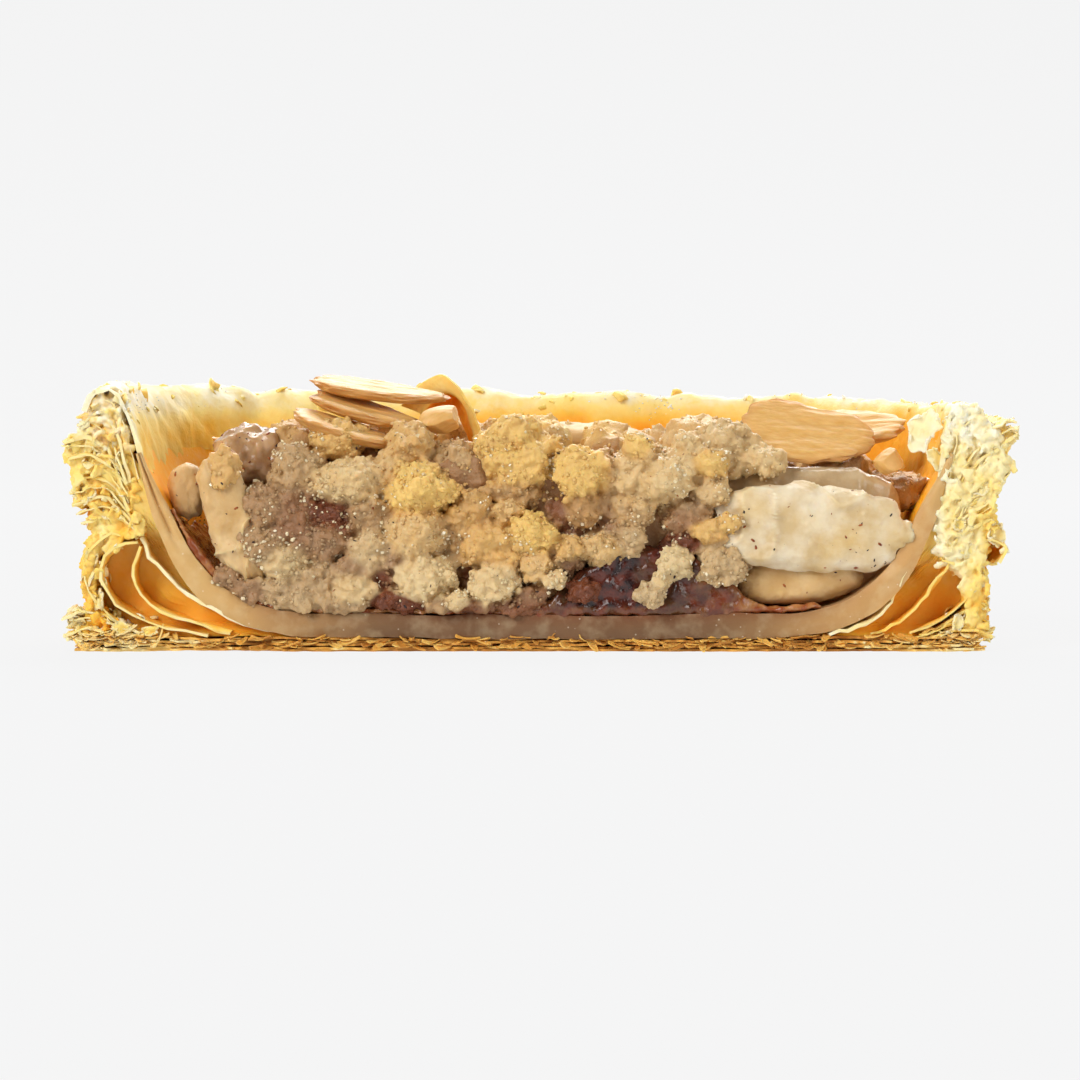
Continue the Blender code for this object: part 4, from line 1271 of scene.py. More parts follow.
    def sole(self) -> Soup:
        """Crisp bottom leaves: flat sheets of rows that run back from the cut, each a little wavy.

        Across, x goes from edge to edge; back, the rows are spaced as a power of their number, so
        that the edge at the cut is the finest.  Crisp bits hang on that edge.
        """
        parts = []
        count = np.linspace(0.0, 1.0, self.sole_across)
        share = 2.0 * (count - 0.07 * np.sin(2 * math.pi * count)) - 1.0
        round_back = np.maximum(1 - np.abs(share) ** PLAN.squareness, 0.002) ** (1 / PLAN.squareness)
        t = np.linspace(0.0, 1.0, 12) ** 2.4
        for layer in range(self.sole_leaves):
            x = self.sole_middle + (self.sole_half - 0.4 * layer - 0.9 * (layer % 2)) * share
            back = round_back * (self.sole_depth - layer)
            grid = np.stack(np.broadcast_arrays(x[:, None], back[:, None] * t[None], 0.0), -1).copy()
            level = 0.12 + self.sole_height * layer / self.sole_leaves
            wave = 0.24 * noise_field(grid, 7.5, layer + 20.0) + 0.08 * noise_field(grid, 1.1, layer + 30.0)
            grid[..., 2] = np.maximum(level + wave, 0.14)
            edge = grid[:, :1]
            notch = 0.35 + 0.55 * noise_field(edge, 1.3, layer + 40.0) + 0.35 * noise_field(edge, 0.5, layer)
            grid[..., 1] += np.clip(notch, -0.25, 1.2) * np.exp(-grid[..., 1] / 1.0)
            fresh = np.exp(-grid[..., 1] / 0.35) * (0.4 + 0.6 * (layer % 2))
            bake = 0.8 - 0.4 * fresh + 0.25 * noise_field(grid, 2.4, 50.0)
            bake = bake - 0.6 * eased(np.abs(grid[..., 0]), 32.0, 47.0)
            parts.append(thick_sheet(grid, self.sole_thickness, {"bake": bake, "sugar": 0 * bake}))
        return Soup.joined([*parts, self.crisp_bits()])

    def crisp_bits(self) -> Soup:
        """Crisp bits lying along the sole's edge at the cut, with more of them at its two ends."""
        at_ends = self.bits_right + self.bits_left
        count = self.bits_along + at_ends
        places = self.rng.uniform((-50.0, 0.0, 0.35), (48.0, 0.45, 1.7), (count, 3))
        places[self.bits_along :] = self.rng.uniform((43.0, 0.0, 0.35), (49.0, 2.0, 2.4), (at_ends, 3))
        mirrored = slice(self.bits_along + self.bits_right, None)
        places[mirrored, 0] = 2 * self.bits_mirror - places[mirrored, 0]
        sizes = self.rng.uniform(0.7, 1.9, (count, 1)) * np.array([1.5, 0.55, 0.8])
        turns = self.lying(np.tile((0.0, -0.3, 0.95), (count, 1)), 0.22)
        bits = spread(self.shard_kind(), places, sizes, turns)
        bits.points[:, 2] = np.maximum(bits.points[:, 2], 0.03)
        bake = self.rng.uniform(0.25, 0.8, count) - 0.34 * eased(np.abs(places[:, 0]), 32.0, 46.0)
        bake = np.repeat(bake, len(bits.points) // count)
        bits.values = {"bake": bake, "sugar": 0 * bake}
        return bits

    def shard_kind(self) -> Soup:
        """A torn bit of leaf: a bent three-by-four patch with a wall of its own."""
        return thick_sheet(self.patch(4, 3), 0.11)

    def patch(self, rows: int, columns: int) -> Array:
        """A bent square of leaf one millimetre wide, as a grid."""
        u, v = square(rows, columns)
        return np.stack([u, v * (1.0 - 0.5 * (u + 0.5) ** 2), 0.5 * u**2 + 0.35 * v**2 - 0.2 * u * v], -1)

    def lying(self, normals: Array, stray: float) -> Array:
        """Turns that lay a shard on its surface, strayed by the amount given."""
        count = len(normals)
        turns = random_turns(count, self.rng)
        lay = normals + stray * self.rng.normal(size=(count, 3))
        lay /= np.linalg.norm(lay, axis=1, keepdims=True)
        side = np.cross(lay, turns[:, :, 0])
        side /= np.linalg.norm(side, axis=1, keepdims=True)
        return np.stack([side, np.cross(lay, side), lay], axis=2)

    def flakes(self, wall: Soup) -> Soup:
        """Torn bits of leaf all over the outside of the wall and its foot.

        They stay inside the tart's outline, paler at the cut and more amber behind and low down.
        """
        side, back, level = wall.middles().T
        side = np.abs(side)
        outside = (side > 47.5) | (back > 46.0)
        wanted = 0.04 + 1.0 * outside + 1.6 * (level < 3.5) * outside + 0.5 * (outside & (back < 2.5))
        wanted += 4.0 * (side > 44.5) * (level < 4.5) * (back < 4.0)
        wanted += 1.2 * outside * (level < 13.0) * (back > 3.0) + 0.8 * (level > 26.0)
        places, normals = strewn(wall, self.shards, self.rng, wanted)
        count = len(places)
        sizes = drawn_sizes(self.rng, count, 0.5, 1.7) * np.array([1.0, 0.85, 1.0])
        sizes = sizes * (1.0 - 0.35 * (places[:, 1:2] < 3.0))
        turns = self.lying(normals, 0.35)
        places = places + 0.2 * self.rng.normal(size=(count, 3))
        places = np.clip(places, (-54.2, -0.1, 0.7), (54.2, np.inf, 30.0))
        made = spread(self.shard_kind(), places, sizes, turns)
        made.points[:, 2] = np.maximum(made.points[:, 2], 0.02)
        per = len(made.points) // count
        behind = eased(places[:, 1], 2.5, 8.0)
        low = eased(-places[:, 2], -11.0, -1.0)
        bake = 0.02 + 0.24 * self.rng.random(count) + behind * (0.14 + 0.2 * low)
        sugar = eased(places[:, 2], 23.0, 27.0) * (self.rng.random(count) < 0.15)
        made.values = {"bake": np.repeat(bake, per), "sugar": np.repeat(sugar, per)}
        return made

    def crushed(self, end: CrushedEnd) -> Soup:
        """One end of the wall where the cut crushed the layers into a porous, woolly mass.

        Small balls and shards are placed between the lining and the outline, by height, fewer of them
        low down, and melted together; noise then roughens the skin.
        """
        rng = self.rng
        levels, inner, outer = np.array(end.edges).T
        z = rng.uniform(levels[0], levels[-1], end.bits)
        z = z[rng.random(end.bits) < np.where(z < self.open_below, 0.4, 1.0)]
        count = len(z)
        low, high = np.interp(z, levels, inner), np.interp(z, levels, outer)
        x = end.side * (low + (high - low) * rng.random(count))
        places = np.stack([x, end.front + self.end_depth * rng.random(count), z], -1)
        radius = drawn_sizes(rng, count, 0.2, 0.36, 1.6) * stretches(rng, count, 0.75, 0.5)
        balls = spread(ball(2), places, radius, random_turns(count, rng))
        bits = places[: count // 2] + rng.normal(size=(count // 2, 3)) * 0.3
        bits[:, 1] = np.maximum(bits[:, 1] - 0.4, 0.0)
        flat = thick_sheet(self.patch(4, 4), 0.3)
        sizes = drawn_sizes(rng, len(bits), 0.6, 1.0, 1) * np.array([1.0, 0.8, 1.0])
        shards = spread(flat, bits, sizes, random_turns(len(bits), rng))
        skin = fused(Soup.joined([balls, shards]), self.end_voxel)
        points = skin.points + point_normals(skin) * (0.15 * layered_noise(skin.points, 0.5, 5.0))[:, None]
        points[:, 1] = np.maximum(points[:, 1], -0.6)
        x, y, z = points.T
        # Painted shade: the mass is painted amber deeper behind its front, down in its crevices.
        bake = end.bake + 0.16 * noise_field(points, 2.4, 8.0) + 0.28 * eased(y - end.front, 0.2, 1.8)
        bake = bake + 0.22 * eased(-z, -12.0, -3.0)
        bake = bake + 0.16 * eased(x, 47.4, 50.4) * (1.0 - 0.7 * eased(z, 15.0, 22.0))
        return Soup(points, skin.faces, {"bake": bake, "sugar": 0.6 * eased(z, 21.0, 26.0)})

    def flaps(self) -> Soup:
        """The large torn leaves one by one: a bent patch with a ragged edge and a wavy face."""
        parts = []
        u, v = square(22, 22)
        edge = np.maximum(np.abs(u), np.abs(v)) * 2
        for i, flap in enumerate(FLAPS):
            probe = np.stack([u * 4, v * 4, np.full_like(u, i * 7.0)], -1)
            torn = 1 - 0.42 * edge * (0.5 + 0.6 * noise_field(probe, 1.0, 3.0))
            torn = torn - 0.16 * edge * noise_field(probe, 0.35, 4.0)
            torn = torn * (1 - 0.42 * (2 * u) ** 2 * (2 * v) ** 2)
            along, across = u * torn * flap.size[0], v * torn * flap.size[1]
            bend = 0.9 * (u**2 + 0.6 * v**2) * min(flap.size) * 0.6
            lift = bend + 0.28 * noise_field(probe, 1.6, 5.0) + 0.1 * noise_field(probe, 0.5, 6.0)
            grid = turned(np.stack([along, across, lift], -1), flap.turns) + np.array(flap.middle)
            grid[..., 2] = np.clip(grid[..., 2], 0.15, 30.2)
            grid[..., 0] = np.clip(grid[..., 0], -54.6, 54.6)
            bake = flap.bake * (1.15 - 0.7 * edge**3) + 0.05 * noise_field(probe, 1.2, 8.0)
            sugar = flap.sugar * np.clip(0.6 + noise_field(probe, 1.4, 9.0), 0, 1)
            parts.append(thick_sheet(grid, self.flap_thickness, {"bake": bake, "sugar": sugar}))
        return Soup.joined(parts)

    def sugar_dust(self, wall: Soup) -> Soup:
        """Icing sugar in small heaps on the rim: grains of 0.1 to 0.26 mm."""
        normals, mid = wall.area_vectors(), wall.middles()
        up = normals[:, 2] / np.maximum(np.linalg.norm(normals, axis=1), 1e-12)
        patch = np.clip(noise_field(mid, 3.4, 77.0) - 0.1, 0, 1) ** 2
        wanted = eased(mid[:, 2], 23.0, 27.0) * np.abs(up) * patch + 1e-9
        places, facing = strewn(wall, self.dust, self.rng, wanted)
        facing[facing[:, 2] < 0] *= -1
        places = places + facing * drawn_sizes(self.rng, self.dust, 0.08, 0.1)
        sizes = drawn_sizes(self.rng, self.dust, 0.05, 0.08, 1) * np.ones(3)
        return spread(ball(1), places, sizes, random_turns(self.dust, self.rng))

    def build(self) -> None:
        """Makes the pieces of the case."""
        even, odd = self.wall(0), self.wall(1)
        both = Soup.joined([even, odd])
        piece("wall_leaves", even, LEAF, ("pastry_shell",))
        piece("wall_leaves_between", odd, LEAF)
        piece("wall_heart", self.heart(), MASS)
        piece("bottom_lining", self.lining_solid(), DOUGH, crease=60)
        piece("crisp_sole", self.sole(), SOLE)
        for end in self.ends:
            piece(f"crushed_layers_{end.name}", self.crushed(end), MASS, crease=None, mend=False)
        piece("large_torn_leaves", self.flaps(), LEAF)
        piece("torn_flakes", self.flakes(both), LEAF, crease=None)
        piece("icing_sugar_dust", self.sugar_dust(both), ICING_SUGAR, crease=None)


# ---- filling --------------------------------------------------------------------------------------
@dataclass(frozen=True)
class Lump:
    """One clump of crumble: where it is, its half sizes, how toasted and how spiced it is."""

    middle: tuple[float, float, float]
    half: tuple[float, float, float]
    toast: float = 0.3
    spice: float = 0.0


def lump_row(x: float, y: float, z: float, rx: float, rz: float, toast: float, spice: float = 0.0) -> Lump:
    """A lump of the cut face as deep as the mean of its other half sizes, moved forward by 1.2 mm."""
    ry = 0.5 * (rx + rz)
    return Lump((x, y + ry - 1.2, z), (rx, ry, rz), toast, spice)


CUT_LUMPS = tuple(
    lump_row(*row)
    for row in (
        # x, y of its front, z, half width, half height, toast, spice
        (-23.6, 3.0, 23.5, 3.6, 2.2, 0.62), (-15.6, 3.2, 22.9, 2.9, 2.3, 0.45),
        (-14.4, -0.6, 17.9, 3.7, 2.8, 0.95), (-14.5, -0.8, 13.4, 3.2, 2.7, 0.3),
        (-22.0, -0.2, 19.1, 4.1, 2.3, 0.2), (-24.2, 1.4, 15.2, 3.6, 3.3, 0.2, 0.92),
        (-28.2, 1.2, 20.4, 2.8, 3.0, 0.2, 0.3), (-28.4, 0.4, 14.2, 2.9, 3.8, 0.15, 0.6),
        (-25.0, 0.2, 12.4, 2.7, 2.0, 0.1, 0.5), (-19.5, -0.2, 11.3, 2.2, 2.1, 0.1, 0.15),
        (-13.4, -1.2, 8.5, 3.2, 2.4, 0.08), (-5.9, -1.1, 7.8, 2.6, 2.1, 0.1),
        (-8.2, 0.6, 15.4, 2.6, 2.3, 0.5, 0.1), (-5.0, -0.2, 11.7, 4.7, 2.3, 0.55),
        (-1.3, -0.9, 13.2, 2.5, 2.0, 0.95), (-4.3, 0.8, 15.9, 1.9, 1.3, 0.4),
        (-2.8, 0.4, 21.8, 4.4, 3.7, 0.8), (-9.6, 3.2, 20.2, 4.4, 3.0, 0.25, 0.25),
        (-25.7, 0.6, 7.9, 4.4, 2.3, 0.1, 0.3), (-21.6, -0.3, 7.1, 2.3, 1.8, 0.15, 0.05),
        (-9.8, -1.0, 5.9, 1.0, 0.8, 0.1), (-12.1, -0.2, 5.4, 1.4, 0.8, 0.1, 0.4),
        (4.1, -1.0, 20.1, 2.7, 2.7, 0.85), (4.5, -0.2, 16.4, 1.8, 2.2, 0.45, 0.3),
        (11.4, 0.0, 19.2, 4.8, 4.1, 0.22), (14.4, -1.3, 19.6, 2.3, 2.0, 0.15),
        (10.6, 0.0, 23.0, 1.5, 1.6, 0.9), (10.0, -0.2, 15.6, 2.0, 2.0, 0.3, 0.25),
        (20.2, 1.6, 22.2, 4.3, 3.3, 0.2, 0.05), (18.6, -0.6, 21.1, 1.8, 1.3, 0.8),
        (18.8, 0.2, 18.5, 1.7, 2.0, 0.2, 0.05), (2.7, 2.0, 15.2, 2.9, 2.3, 0.05, 0.7),
        (2.9, -0.9, 11.8, 1.4, 1.3, 0.5), (6.1, -0.2, 11.6, 2.3, 1.6, 0.35),
        (9.6, 0.2, 12.6, 1.6, 1.7, 0.1, 0.2), (14.6, -0.6, 10.0, 1.9, 1.6, 0.0),
        (11.8, -1.0, 6.5, 1.5, 1.1, 0.0, 0.2), (13.0, -0.6, 8.0, 0.8, 0.8, 0.1),
        (4.4, -0.5, 6.9, 1.6, 1.1, 0.2, 0.95), (19.6, -0.1, 9.9, 2.5, 2.6, 0.1, 0.2),
        (18.5, -0.7, 13.6, 1.7, 1.1, 0.6), (20.6, -0.7, 14.4, 1.0, 0.9, 0.7),
        (1.0, -1.0, 8.1, 0.95, 0.85, 0.1), (-1.0, -0.4, 9.8, 2.2, 1.7, 0.35),
        (-1.9, 0.3, 6.2, 1.7, 1.1, 0.1, 0.6), (-31.6, -0.1, 16.3, 2.2, 2.2, 0.2, 0.45),
        (-32.0, -0.2, 11.9, 2.6, 2.4, 0.15, 0.4), (-29.5, -0.2, 10.2, 2.6, 2.1, 0.1, 0.05),
        (-33.0, 0.4, 6.9, 1.9, 1.2, 0.1, 0.5), (-30.0, 0.2, 7.1, 2.0, 1.4, 0.05, 0.3),
        (-36.0, -0.3, 20.4, 1.5, 2.0, 0.5), (8.0, 2.0, 16.8, 4.2, 3.2, 0.2, 0.65),
        (-17.8, 1.6, 18.8, 3.6, 3.0, 0.3, 0.05), (-11.0, 1.8, 12.0, 3.4, 2.8, 0.2, 0.3),
        (15.6, 1.0, 14.8, 2.8, 2.0, 0.2, 0.55), (24.6, 1.6, 21.4, 2.4, 1.6, 0.2),
        (-18.4, 1.4, 8.6, 2.6, 2.0, 0.1, 0.85), (-3.4, 1.6, 18.2, 3.4, 1.8, 0.3, 0.3),
        (6.4, 1.2, 19.6, 2.4, 2.6, 0.4, 0.25), (16.2, 0.8, 21.4, 2.2, 2.6, 0.2),
        (-7.0, 2.4, 10.0, 3.4, 2.4, 0.1, 0.8), (-26.6, 2.2, 17.6, 3.0, 2.4, 0.2, 0.6),
        (15.9, 1.4, 12.2, 2.2, 1.8, 0.0, 0.95), (-21.5, 0.4, 9.4, 2.4, 1.7, 0.1, 0.5),
        (-17.2, 0.6, 10.4, 2.2, 1.8, 0.1, 0.55), (17.0, 1.0, 16.2, 2.4, 2.0, 0.1, 0.4),
        (-28.0, 0.3, 5.6, 3.0, 1.0, 0.1, 0.25), (-22.6, 0.2, 5.4, 2.8, 1.0, 0.1, 0.35),
        (-16.6, 0.5, 5.5, 3.4, 1.2, 0.05, 1.0), (-19.8, 0.4, 15.3, 2.6, 2.0, 0.2, 0.35),
        (-8.6, 0.4, 5.5, 3.0, 1.1, 0.1, 0.7), (-3.4, 0.3, 5.3, 3.0, 0.9, 0.1, 0.7),
        (22.8, 0.9, 12.6, 2.0, 3.0, 0.05, 0.4), (-35.6, 0.5, 8.2, 1.6, 1.2, 0.1, 0.5),
        (1.6, 1.2, 11.0, 3.4, 2.2, 0.1, 0.6), (8.6, 1.4, 13.6, 3.0, 2.0, 0.1, 0.6),
    )
)  # fmt: skip


@dataclass
class Filling:
    """Crumble, apple and jam: clumps one by one at the cut, a heap behind them."""

    mound: float = 22.0
    mound_edge: float = 18.0
    top_lumps: int = 60
    top_reach: float = 39.5
    front_voxel: float = 0.215
    top_voxel: float = 0.38
    jam_voxel: float = 0.36
    jam_right: float = 0.45
    jam_left: float = 0.84
    jam_thickness: float = 0.5
    pool_x: float = 12.0
    pool_half: float = 9.5
    pool_height: float = 6.8
    parting_x: float = -4.0
    ground_grains: int = 2600
    fruit_lumps: int = 1500
    rng: np.random.Generator = field(default_factory=lambda: np.random.default_rng(5))

    def mound_height(self, x: Array, y: Array) -> Array:
        """Level of the heap between its clumps: high in the middle, low at the walls, a rise at one side."""
        share = np.minimum(np.abs(x) / 42.5, 1) ** 4 + np.minimum(np.maximum(y, 0) / 41.6, 1) ** 4
        probe = np.stack(np.broadcast_arrays(x, y, 0.0), -1)
        rise = 2.8 * np.exp(-(((x + 18) / 9) ** 2) - ((y - 12) / 7) ** 2)
        level = self.mound - (self.mound - self.mound_edge) * np.minimum(share, 1) + rise
        return level - 1.6 * eased(x, 22.0, 30.0) + 0.9 * noise_field(probe, 5.5, 7.0)

    def clump(self, lump: Lump, seed: float, detail: int = 5) -> Soup:
        """A ball stretched to size, its radius changed by three layers of noise, each half as wide."""
        made = ball(detail)
        half = np.array(lump.half)
        size = half.mean()
        probe = made.points * size + seed * 11.0
        wobble = 1 + 0.26 * noise_field(probe, size * 0.85, seed)
        wobble += 0.2 * noise_field(probe, size * 0.42, seed + 2)
        wobble += 0.09 * noise_field(probe, size * 0.2, seed + 4)
        return Soup(made.points * half * wobble[:, None] + np.array(lump.middle), made.faces)

    def grains(self, skin: Soup, lump: Lump, density: float) -> Soup:
        """Grains of 0.4 to 1.1 mm half sunk into a clump, more of them on a pale one."""
        area = 4 * math.pi * np.mean(lump.half) ** 2
        count = max(int(area * density * (1.15 - 0.5 * lump.toast)), 4)
        places, normals = strewn(skin, count, self.rng, 1.0)
        radius = drawn_sizes(self.rng, count, 0.2, 0.36)
        return spread(ball(2), places + normals * radius * 0.3, radius * stretches(self.rng, count, 0.7, 0.6))

    def tinted(self, skin: Soup, lumps: tuple[Lump, ...]) -> Soup:
        """Gives each point the toast and spice of the clumps near it, blended by closeness."""
        middles = np.array([lump.middle for lump in lumps])
        halves = np.array([lump.half for lump in lumps])
        toast = np.array([lump.toast for lump in lumps])
        spice = np.array([lump.spice for lump in lumps])
        total = np.zeros((len(skin.points), 2))
        for rows in np.array_split(np.arange(len(skin.points)), max(len(skin.points) // 20000, 1)):
            away = np.linalg.norm((skin.points[rows, None] - middles) / halves, axis=2)
            weight = np.exp(-3.2 * away**2) + 1e-9
            weight /= weight.sum(1, keepdims=True)
            total[rows] = np.stack([weight @ toast, weight @ spice], 1)
        return Soup(skin.points, skin.faces, {"toast": total[:, 0], "spice": total[:, 1]})

    def body(self, front: float, low: float) -> Soup:
        """The close mass inside the heap: a grid over the plan, its lid the mound, its floor the basin.

        Args:
            front: how far behind the cut it starts; 5 mm further at the two sides.
            low: its lowest level.

        Returns:
            The closed body.
        """
        angle = np.linspace(0, math.pi, 90)
        share = np.linspace(0, 1, 34)
        shrink = np.clip((40.0 - front) / 40.0, 0.8, 1.0)
        reach, height = PLAN.basin(share * 0.86, 1.6)
        under = PLAN.carry(reach[None] * shrink, np.maximum(height, low)[None], angle[:, None])
        over = PLAN.carry(reach[None] * shrink, height[None], angle[:, None])
        over[..., 2] = np.maximum(self.mound_height(over[..., 0], over[..., 1]) - 0.9, under[..., 2] + 0.05)
        for skin in (under, over):
            sides = eased(skin[..., 0], 14, 18) + eased(-skin[..., 0], 27, 31)
            skin[..., 1] = np.maximum(skin[..., 1], front + 5.0 * sides)
            skin[:, 0] = skin[:, :1].mean(0)
        return lidded(over, under, pole=True)

    def roughened(self, skin: Soup, height: float, wavelength: float, seed: float) -> Soup:
        """Moves each point along its normal by layered noise."""
        move = height * layered_noise(skin.points, wavelength, seed)
        return Soup(skin.points + point_normals(skin) * move[:, None], skin.faces, skin.values)

    def front(self) -> list[Soup]:
        """The crumble at the cut in a left and a right part: clumps and their grains, melted together."""
        sides = [[], []]
        for i, lump in enumerate(CUT_LUMPS):
            clump = self.clump(lump, i + 1.0)
            sides[int(lump.middle[0] > self.parting_x)] += [clump, self.grains(clump, lump, 2.6)]
        made = []
        for parts in sides:
            skin = self.roughened(fused(Soup.joined(parts), self.front_voxel), 0.13, 0.75, 3.0)
            made.append(self.tinted(self.roughened(skin, 0.08, 0.46, 13.0), CUT_LUMPS))
        return made

    def heap_lumps(self) -> tuple[Lump, ...]:
        """Clumps over the top, spread evenly by the golden angle, each a little different.

        None stands at the cut or where the almonds lie.
        """
        made = []
        golden = math.pi * (3 - math.sqrt(5))
        for i in range(self.top_lumps):
            angle = (golden * i) % math.pi
            reach = self.top_reach * math.sqrt((i + 1.0) / self.top_lumps)
            x, y, _ = PLAN.carry(np.array(reach), np.array(0.0), np.array(angle))
            size = 2.0 + 2.4 * self.rng.random()
            if y < 3.0 + size or math.hypot(x + 10.5, y - 11.0) < 5.0 + size:
                continue
            z = float(self.mound_height(x, y)) + size * 0.1
            half = tuple(size * (0.8 + 0.4 * self.rng.random(3)) * np.array([1.0, 1.0, 0.8]))
            spice = 0.22 if self.rng.random() < 0.18 else 0.0
            made.append(Lump((float(x), float(y), z), half, 0.2 + 0.75 * self.rng.random(), spice))
        return tuple(made)

    def heap(self, lumps: tuple[Lump, ...]) -> Soup:
        """The heap behind the cut: its inner mass with clumps and grains on top, melted together."""
        body = self.body(2.2, 5.6)
        parts = [body]
        for i, lump in enumerate(lumps):
            clump = self.clump(lump, 60.0 + i, 4)
            parts += [clump, self.grains(clump, lump, 0.9)]
        _, back, level = body.middles().T
        places, _ = strewn(body, self.ground_grains, self.rng, ((level > 15) | (back < 4.0)) + 1e-9)
        radius = drawn_sizes(self.rng, self.ground_grains, 0.3, 0.6, 1.5)
        parts.append(spread(ball(2), places, radius * stretches(self.rng, self.ground_grains, 0.8, 0.4)))
        skin = fused(Soup.joined(parts), self.top_voxel)
        skin = self.roughened(skin, 0.2, 1.1, 9.0)
        ground = tuple(
            Lump((x, y, 17.0), (7.0, 7.0, 7.0), 0.3, 0.5 if y < 5 else 0.1)
            for x in np.arange(-38, 39, 9.5)
            for y in (2.0, 14.0, 24.0, 34.0)
        )
        return self.tinted(skin, lumps + ground)

    def loose_crumbs(self, skins: list[tuple]) -> Soup:
        """Single crumbs of 0.2 to 0.6 mm, close together, each near the colour of the clump below it.

        Args:
            skins: rows of a skin, how many crumbs, the level they start at, and the skin's lumps.

        Returns:
            All the crumbs, with their values.
        """
        parts = []
        for skin, count, least, lumps in skins:
            middle = skin.middles()
            wanted = (middle[:, 2] > least) * (0.35 + (noise_field(middle, 3.0, 21.0) > 0.0)) + 1e-9
            places, normals = strewn(skin, count, self.rng, wanted)
            radius = drawn_sizes(self.rng, count, 0.1, 0.2)
            sizes = radius * stretches(self.rng, count, 0.7, 0.6)
            made = spread(ball(1), places + normals * radius * 0.3, sizes, random_turns(count, self.rng))
            near = self.tinted(Soup(places, np.empty((0, 3), int)), lumps).values
            per = len(made.points) // count
            toast = np.clip(near["toast"] - 0.15 + 0.2 * self.rng.random(count), 0, 1)
            made.values = {"toast": np.repeat(toast, per), "spice": np.repeat(0.8 * near["spice"], per)}
            parts.append(made)
        return Soup.joined(parts)

    def crystals(self, skins: list[tuple]) -> Soup:
        """Sugar crystals: small skewed cubes of 0.12 to 0.32 mm that catch the light.

        Args:
            skins: rows of a skin, how many crystals, and the level they start at.

        Returns:
            All the crystals.
        """
        corners = np.array(list(itertools.product((-1.0, 1.0), repeat=3)))
        corners[:, 0] += 0.35 * corners[:, 1]
        sides = [(0, 1, 3, 2), (4, 6, 7, 5), (0, 4, 5, 1), (2, 3, 7, 6), (0, 2, 6, 4), (1, 5, 7, 3)]
        cube = Soup(corners, np.array([t for a, b, c, d in sides for t in ((a, b, c), (a, c, d))]))
        parts = []
        for skin, count, least in skins:
            middle = skin.middles()
            wanted = (middle[:, 2] > least) * np.clip(noise_field(middle, 2.4, 31.0), 0, 1) + 1e-9
            places, normals = strewn(skin, count, self.rng, wanted)
            sizes = drawn_sizes(self.rng, count, 0.06, 0.1) * stretches(self.rng, count, 0.8, 0.4)
            parts.append(spread(cube, places + normals * 0.08, sizes, random_turns(count, self.rng)))
        return Soup.joined(parts)

    def flecks(self, skins: list[tuple], small: float, large: float) -> Soup:
        """Ground spice: flat slivers lying on the crumbs.

        Args:
            skins: rows of a skin, how many slivers, and the level they start at.
            small: half length of the smallest.
            large: half length of the largest.

        Returns:
            All the slivers.
        """
        parts = []
        for skin, count, least in skins:
            places, normals = strewn(skin, count, self.rng, (skin.middles()[:, 2] > least) + 1e-9)
            length = drawn_sizes(self.rng, count, small, large - small)
            side = np.cross(normals, self.rng.normal(size=(count, 3)))
            side /= np.linalg.norm(side, axis=1, keepdims=True)
            turns = np.stack([side, np.cross(normals, side), normals], axis=2)
            parts.append(spread(ball(1), places + normals * 0.03, length * np.array([1.0, 0.5, 0.22]), turns))
        return Soup.joined(parts)

    def jam(self) -> Soup:
        """The jam: a spread on the basin, a pool right of the middle, lumpy with fruit at the cut.

        Thickness over the basin is 0.5 mm, more up the left wall, plus a flat-topped hill for the pool.
        """
        angle = np.linspace(0, math.pi, 110)
        leftward = (1 - np.cos(angle)) / 2
        edge = self.jam_right + (self.jam_left - self.jam_right) * leftward
        share = np.linspace(0, 1, 46)[None, :] ** 1.6 * edge[:, None]
        low_reach, low_height = PLAN.basin(share, 0.12)
        flat = PLAN.carry(low_reach, low_height, angle[:, None])
        across = (flat[..., 0] - self.pool_x) / self.pool_half
        pool = np.exp(-(across**4) - ((flat[..., 1] - 2) / 12) ** 2)
        climb = leftward[:, None] ** 4 * (share / self.jam_left) ** 3
        taper = np.clip((1 - share / edge[:, None]) * 9, 0.15, 1)
        hill = self.pool_height * pool * (1 + 0.2 * noise_field(flat, 2.5, 1.0))
        thick = (self.jam_thickness + 0.6 * climb + hill) * taper
        high_reach, high_height = PLAN.basin(share, thick)
        skins = []
        for reach, height in ((high_reach, high_height), (low_reach, low_height)):
            skin = PLAN.carry(reach, height, angle[:, None])
            skin[:, 0] = skin[:, :1].mean(0)
            skin[..., 1] = np.maximum(skin[..., 1], 0.3)
            skins.append(skin)
        return self.fruity(lidded(*skins, pole=True))

    def fruity(self, solid: Soup) -> Soup:
        """Jam with lumps of fruit melted into its cut face; the value thin is 1 away from the pool."""
        x, y, _ = solid.middles().T
        wanted = (y < 1.5) * (1.0 + 0.6 * (np.abs(x - 11) < 11)) + 1e-9
        places, _ = strewn(solid, self.fruit_lumps, self.rng, wanted)
        radius = drawn_sizes(self.rng, self.fruit_lumps, 0.22, 0.5, 3)
        radius[np.abs(places[:, 0] - 9.0) > 12.0] *= 0.62
        fruit = spread(ball(2), places, radius * stretches(self.rng, self.fruit_lumps, 0.8, 0.4))
        made = self.roughened(fused(Soup.joined([solid, fruit]), self.jam_voxel), 0.16, 0.8, 12.0)
        x, _, z = made.points.T
        thin = 1 - np.exp(-(((x - 11) / 11.5) ** 4)) + 0.25 * noise_field(made.points, 3.0, 4.0)
        made.values = {"thin": np.clip(thin, np.where(z < 5.0, 0.3, 0.0), 1)}
        return made

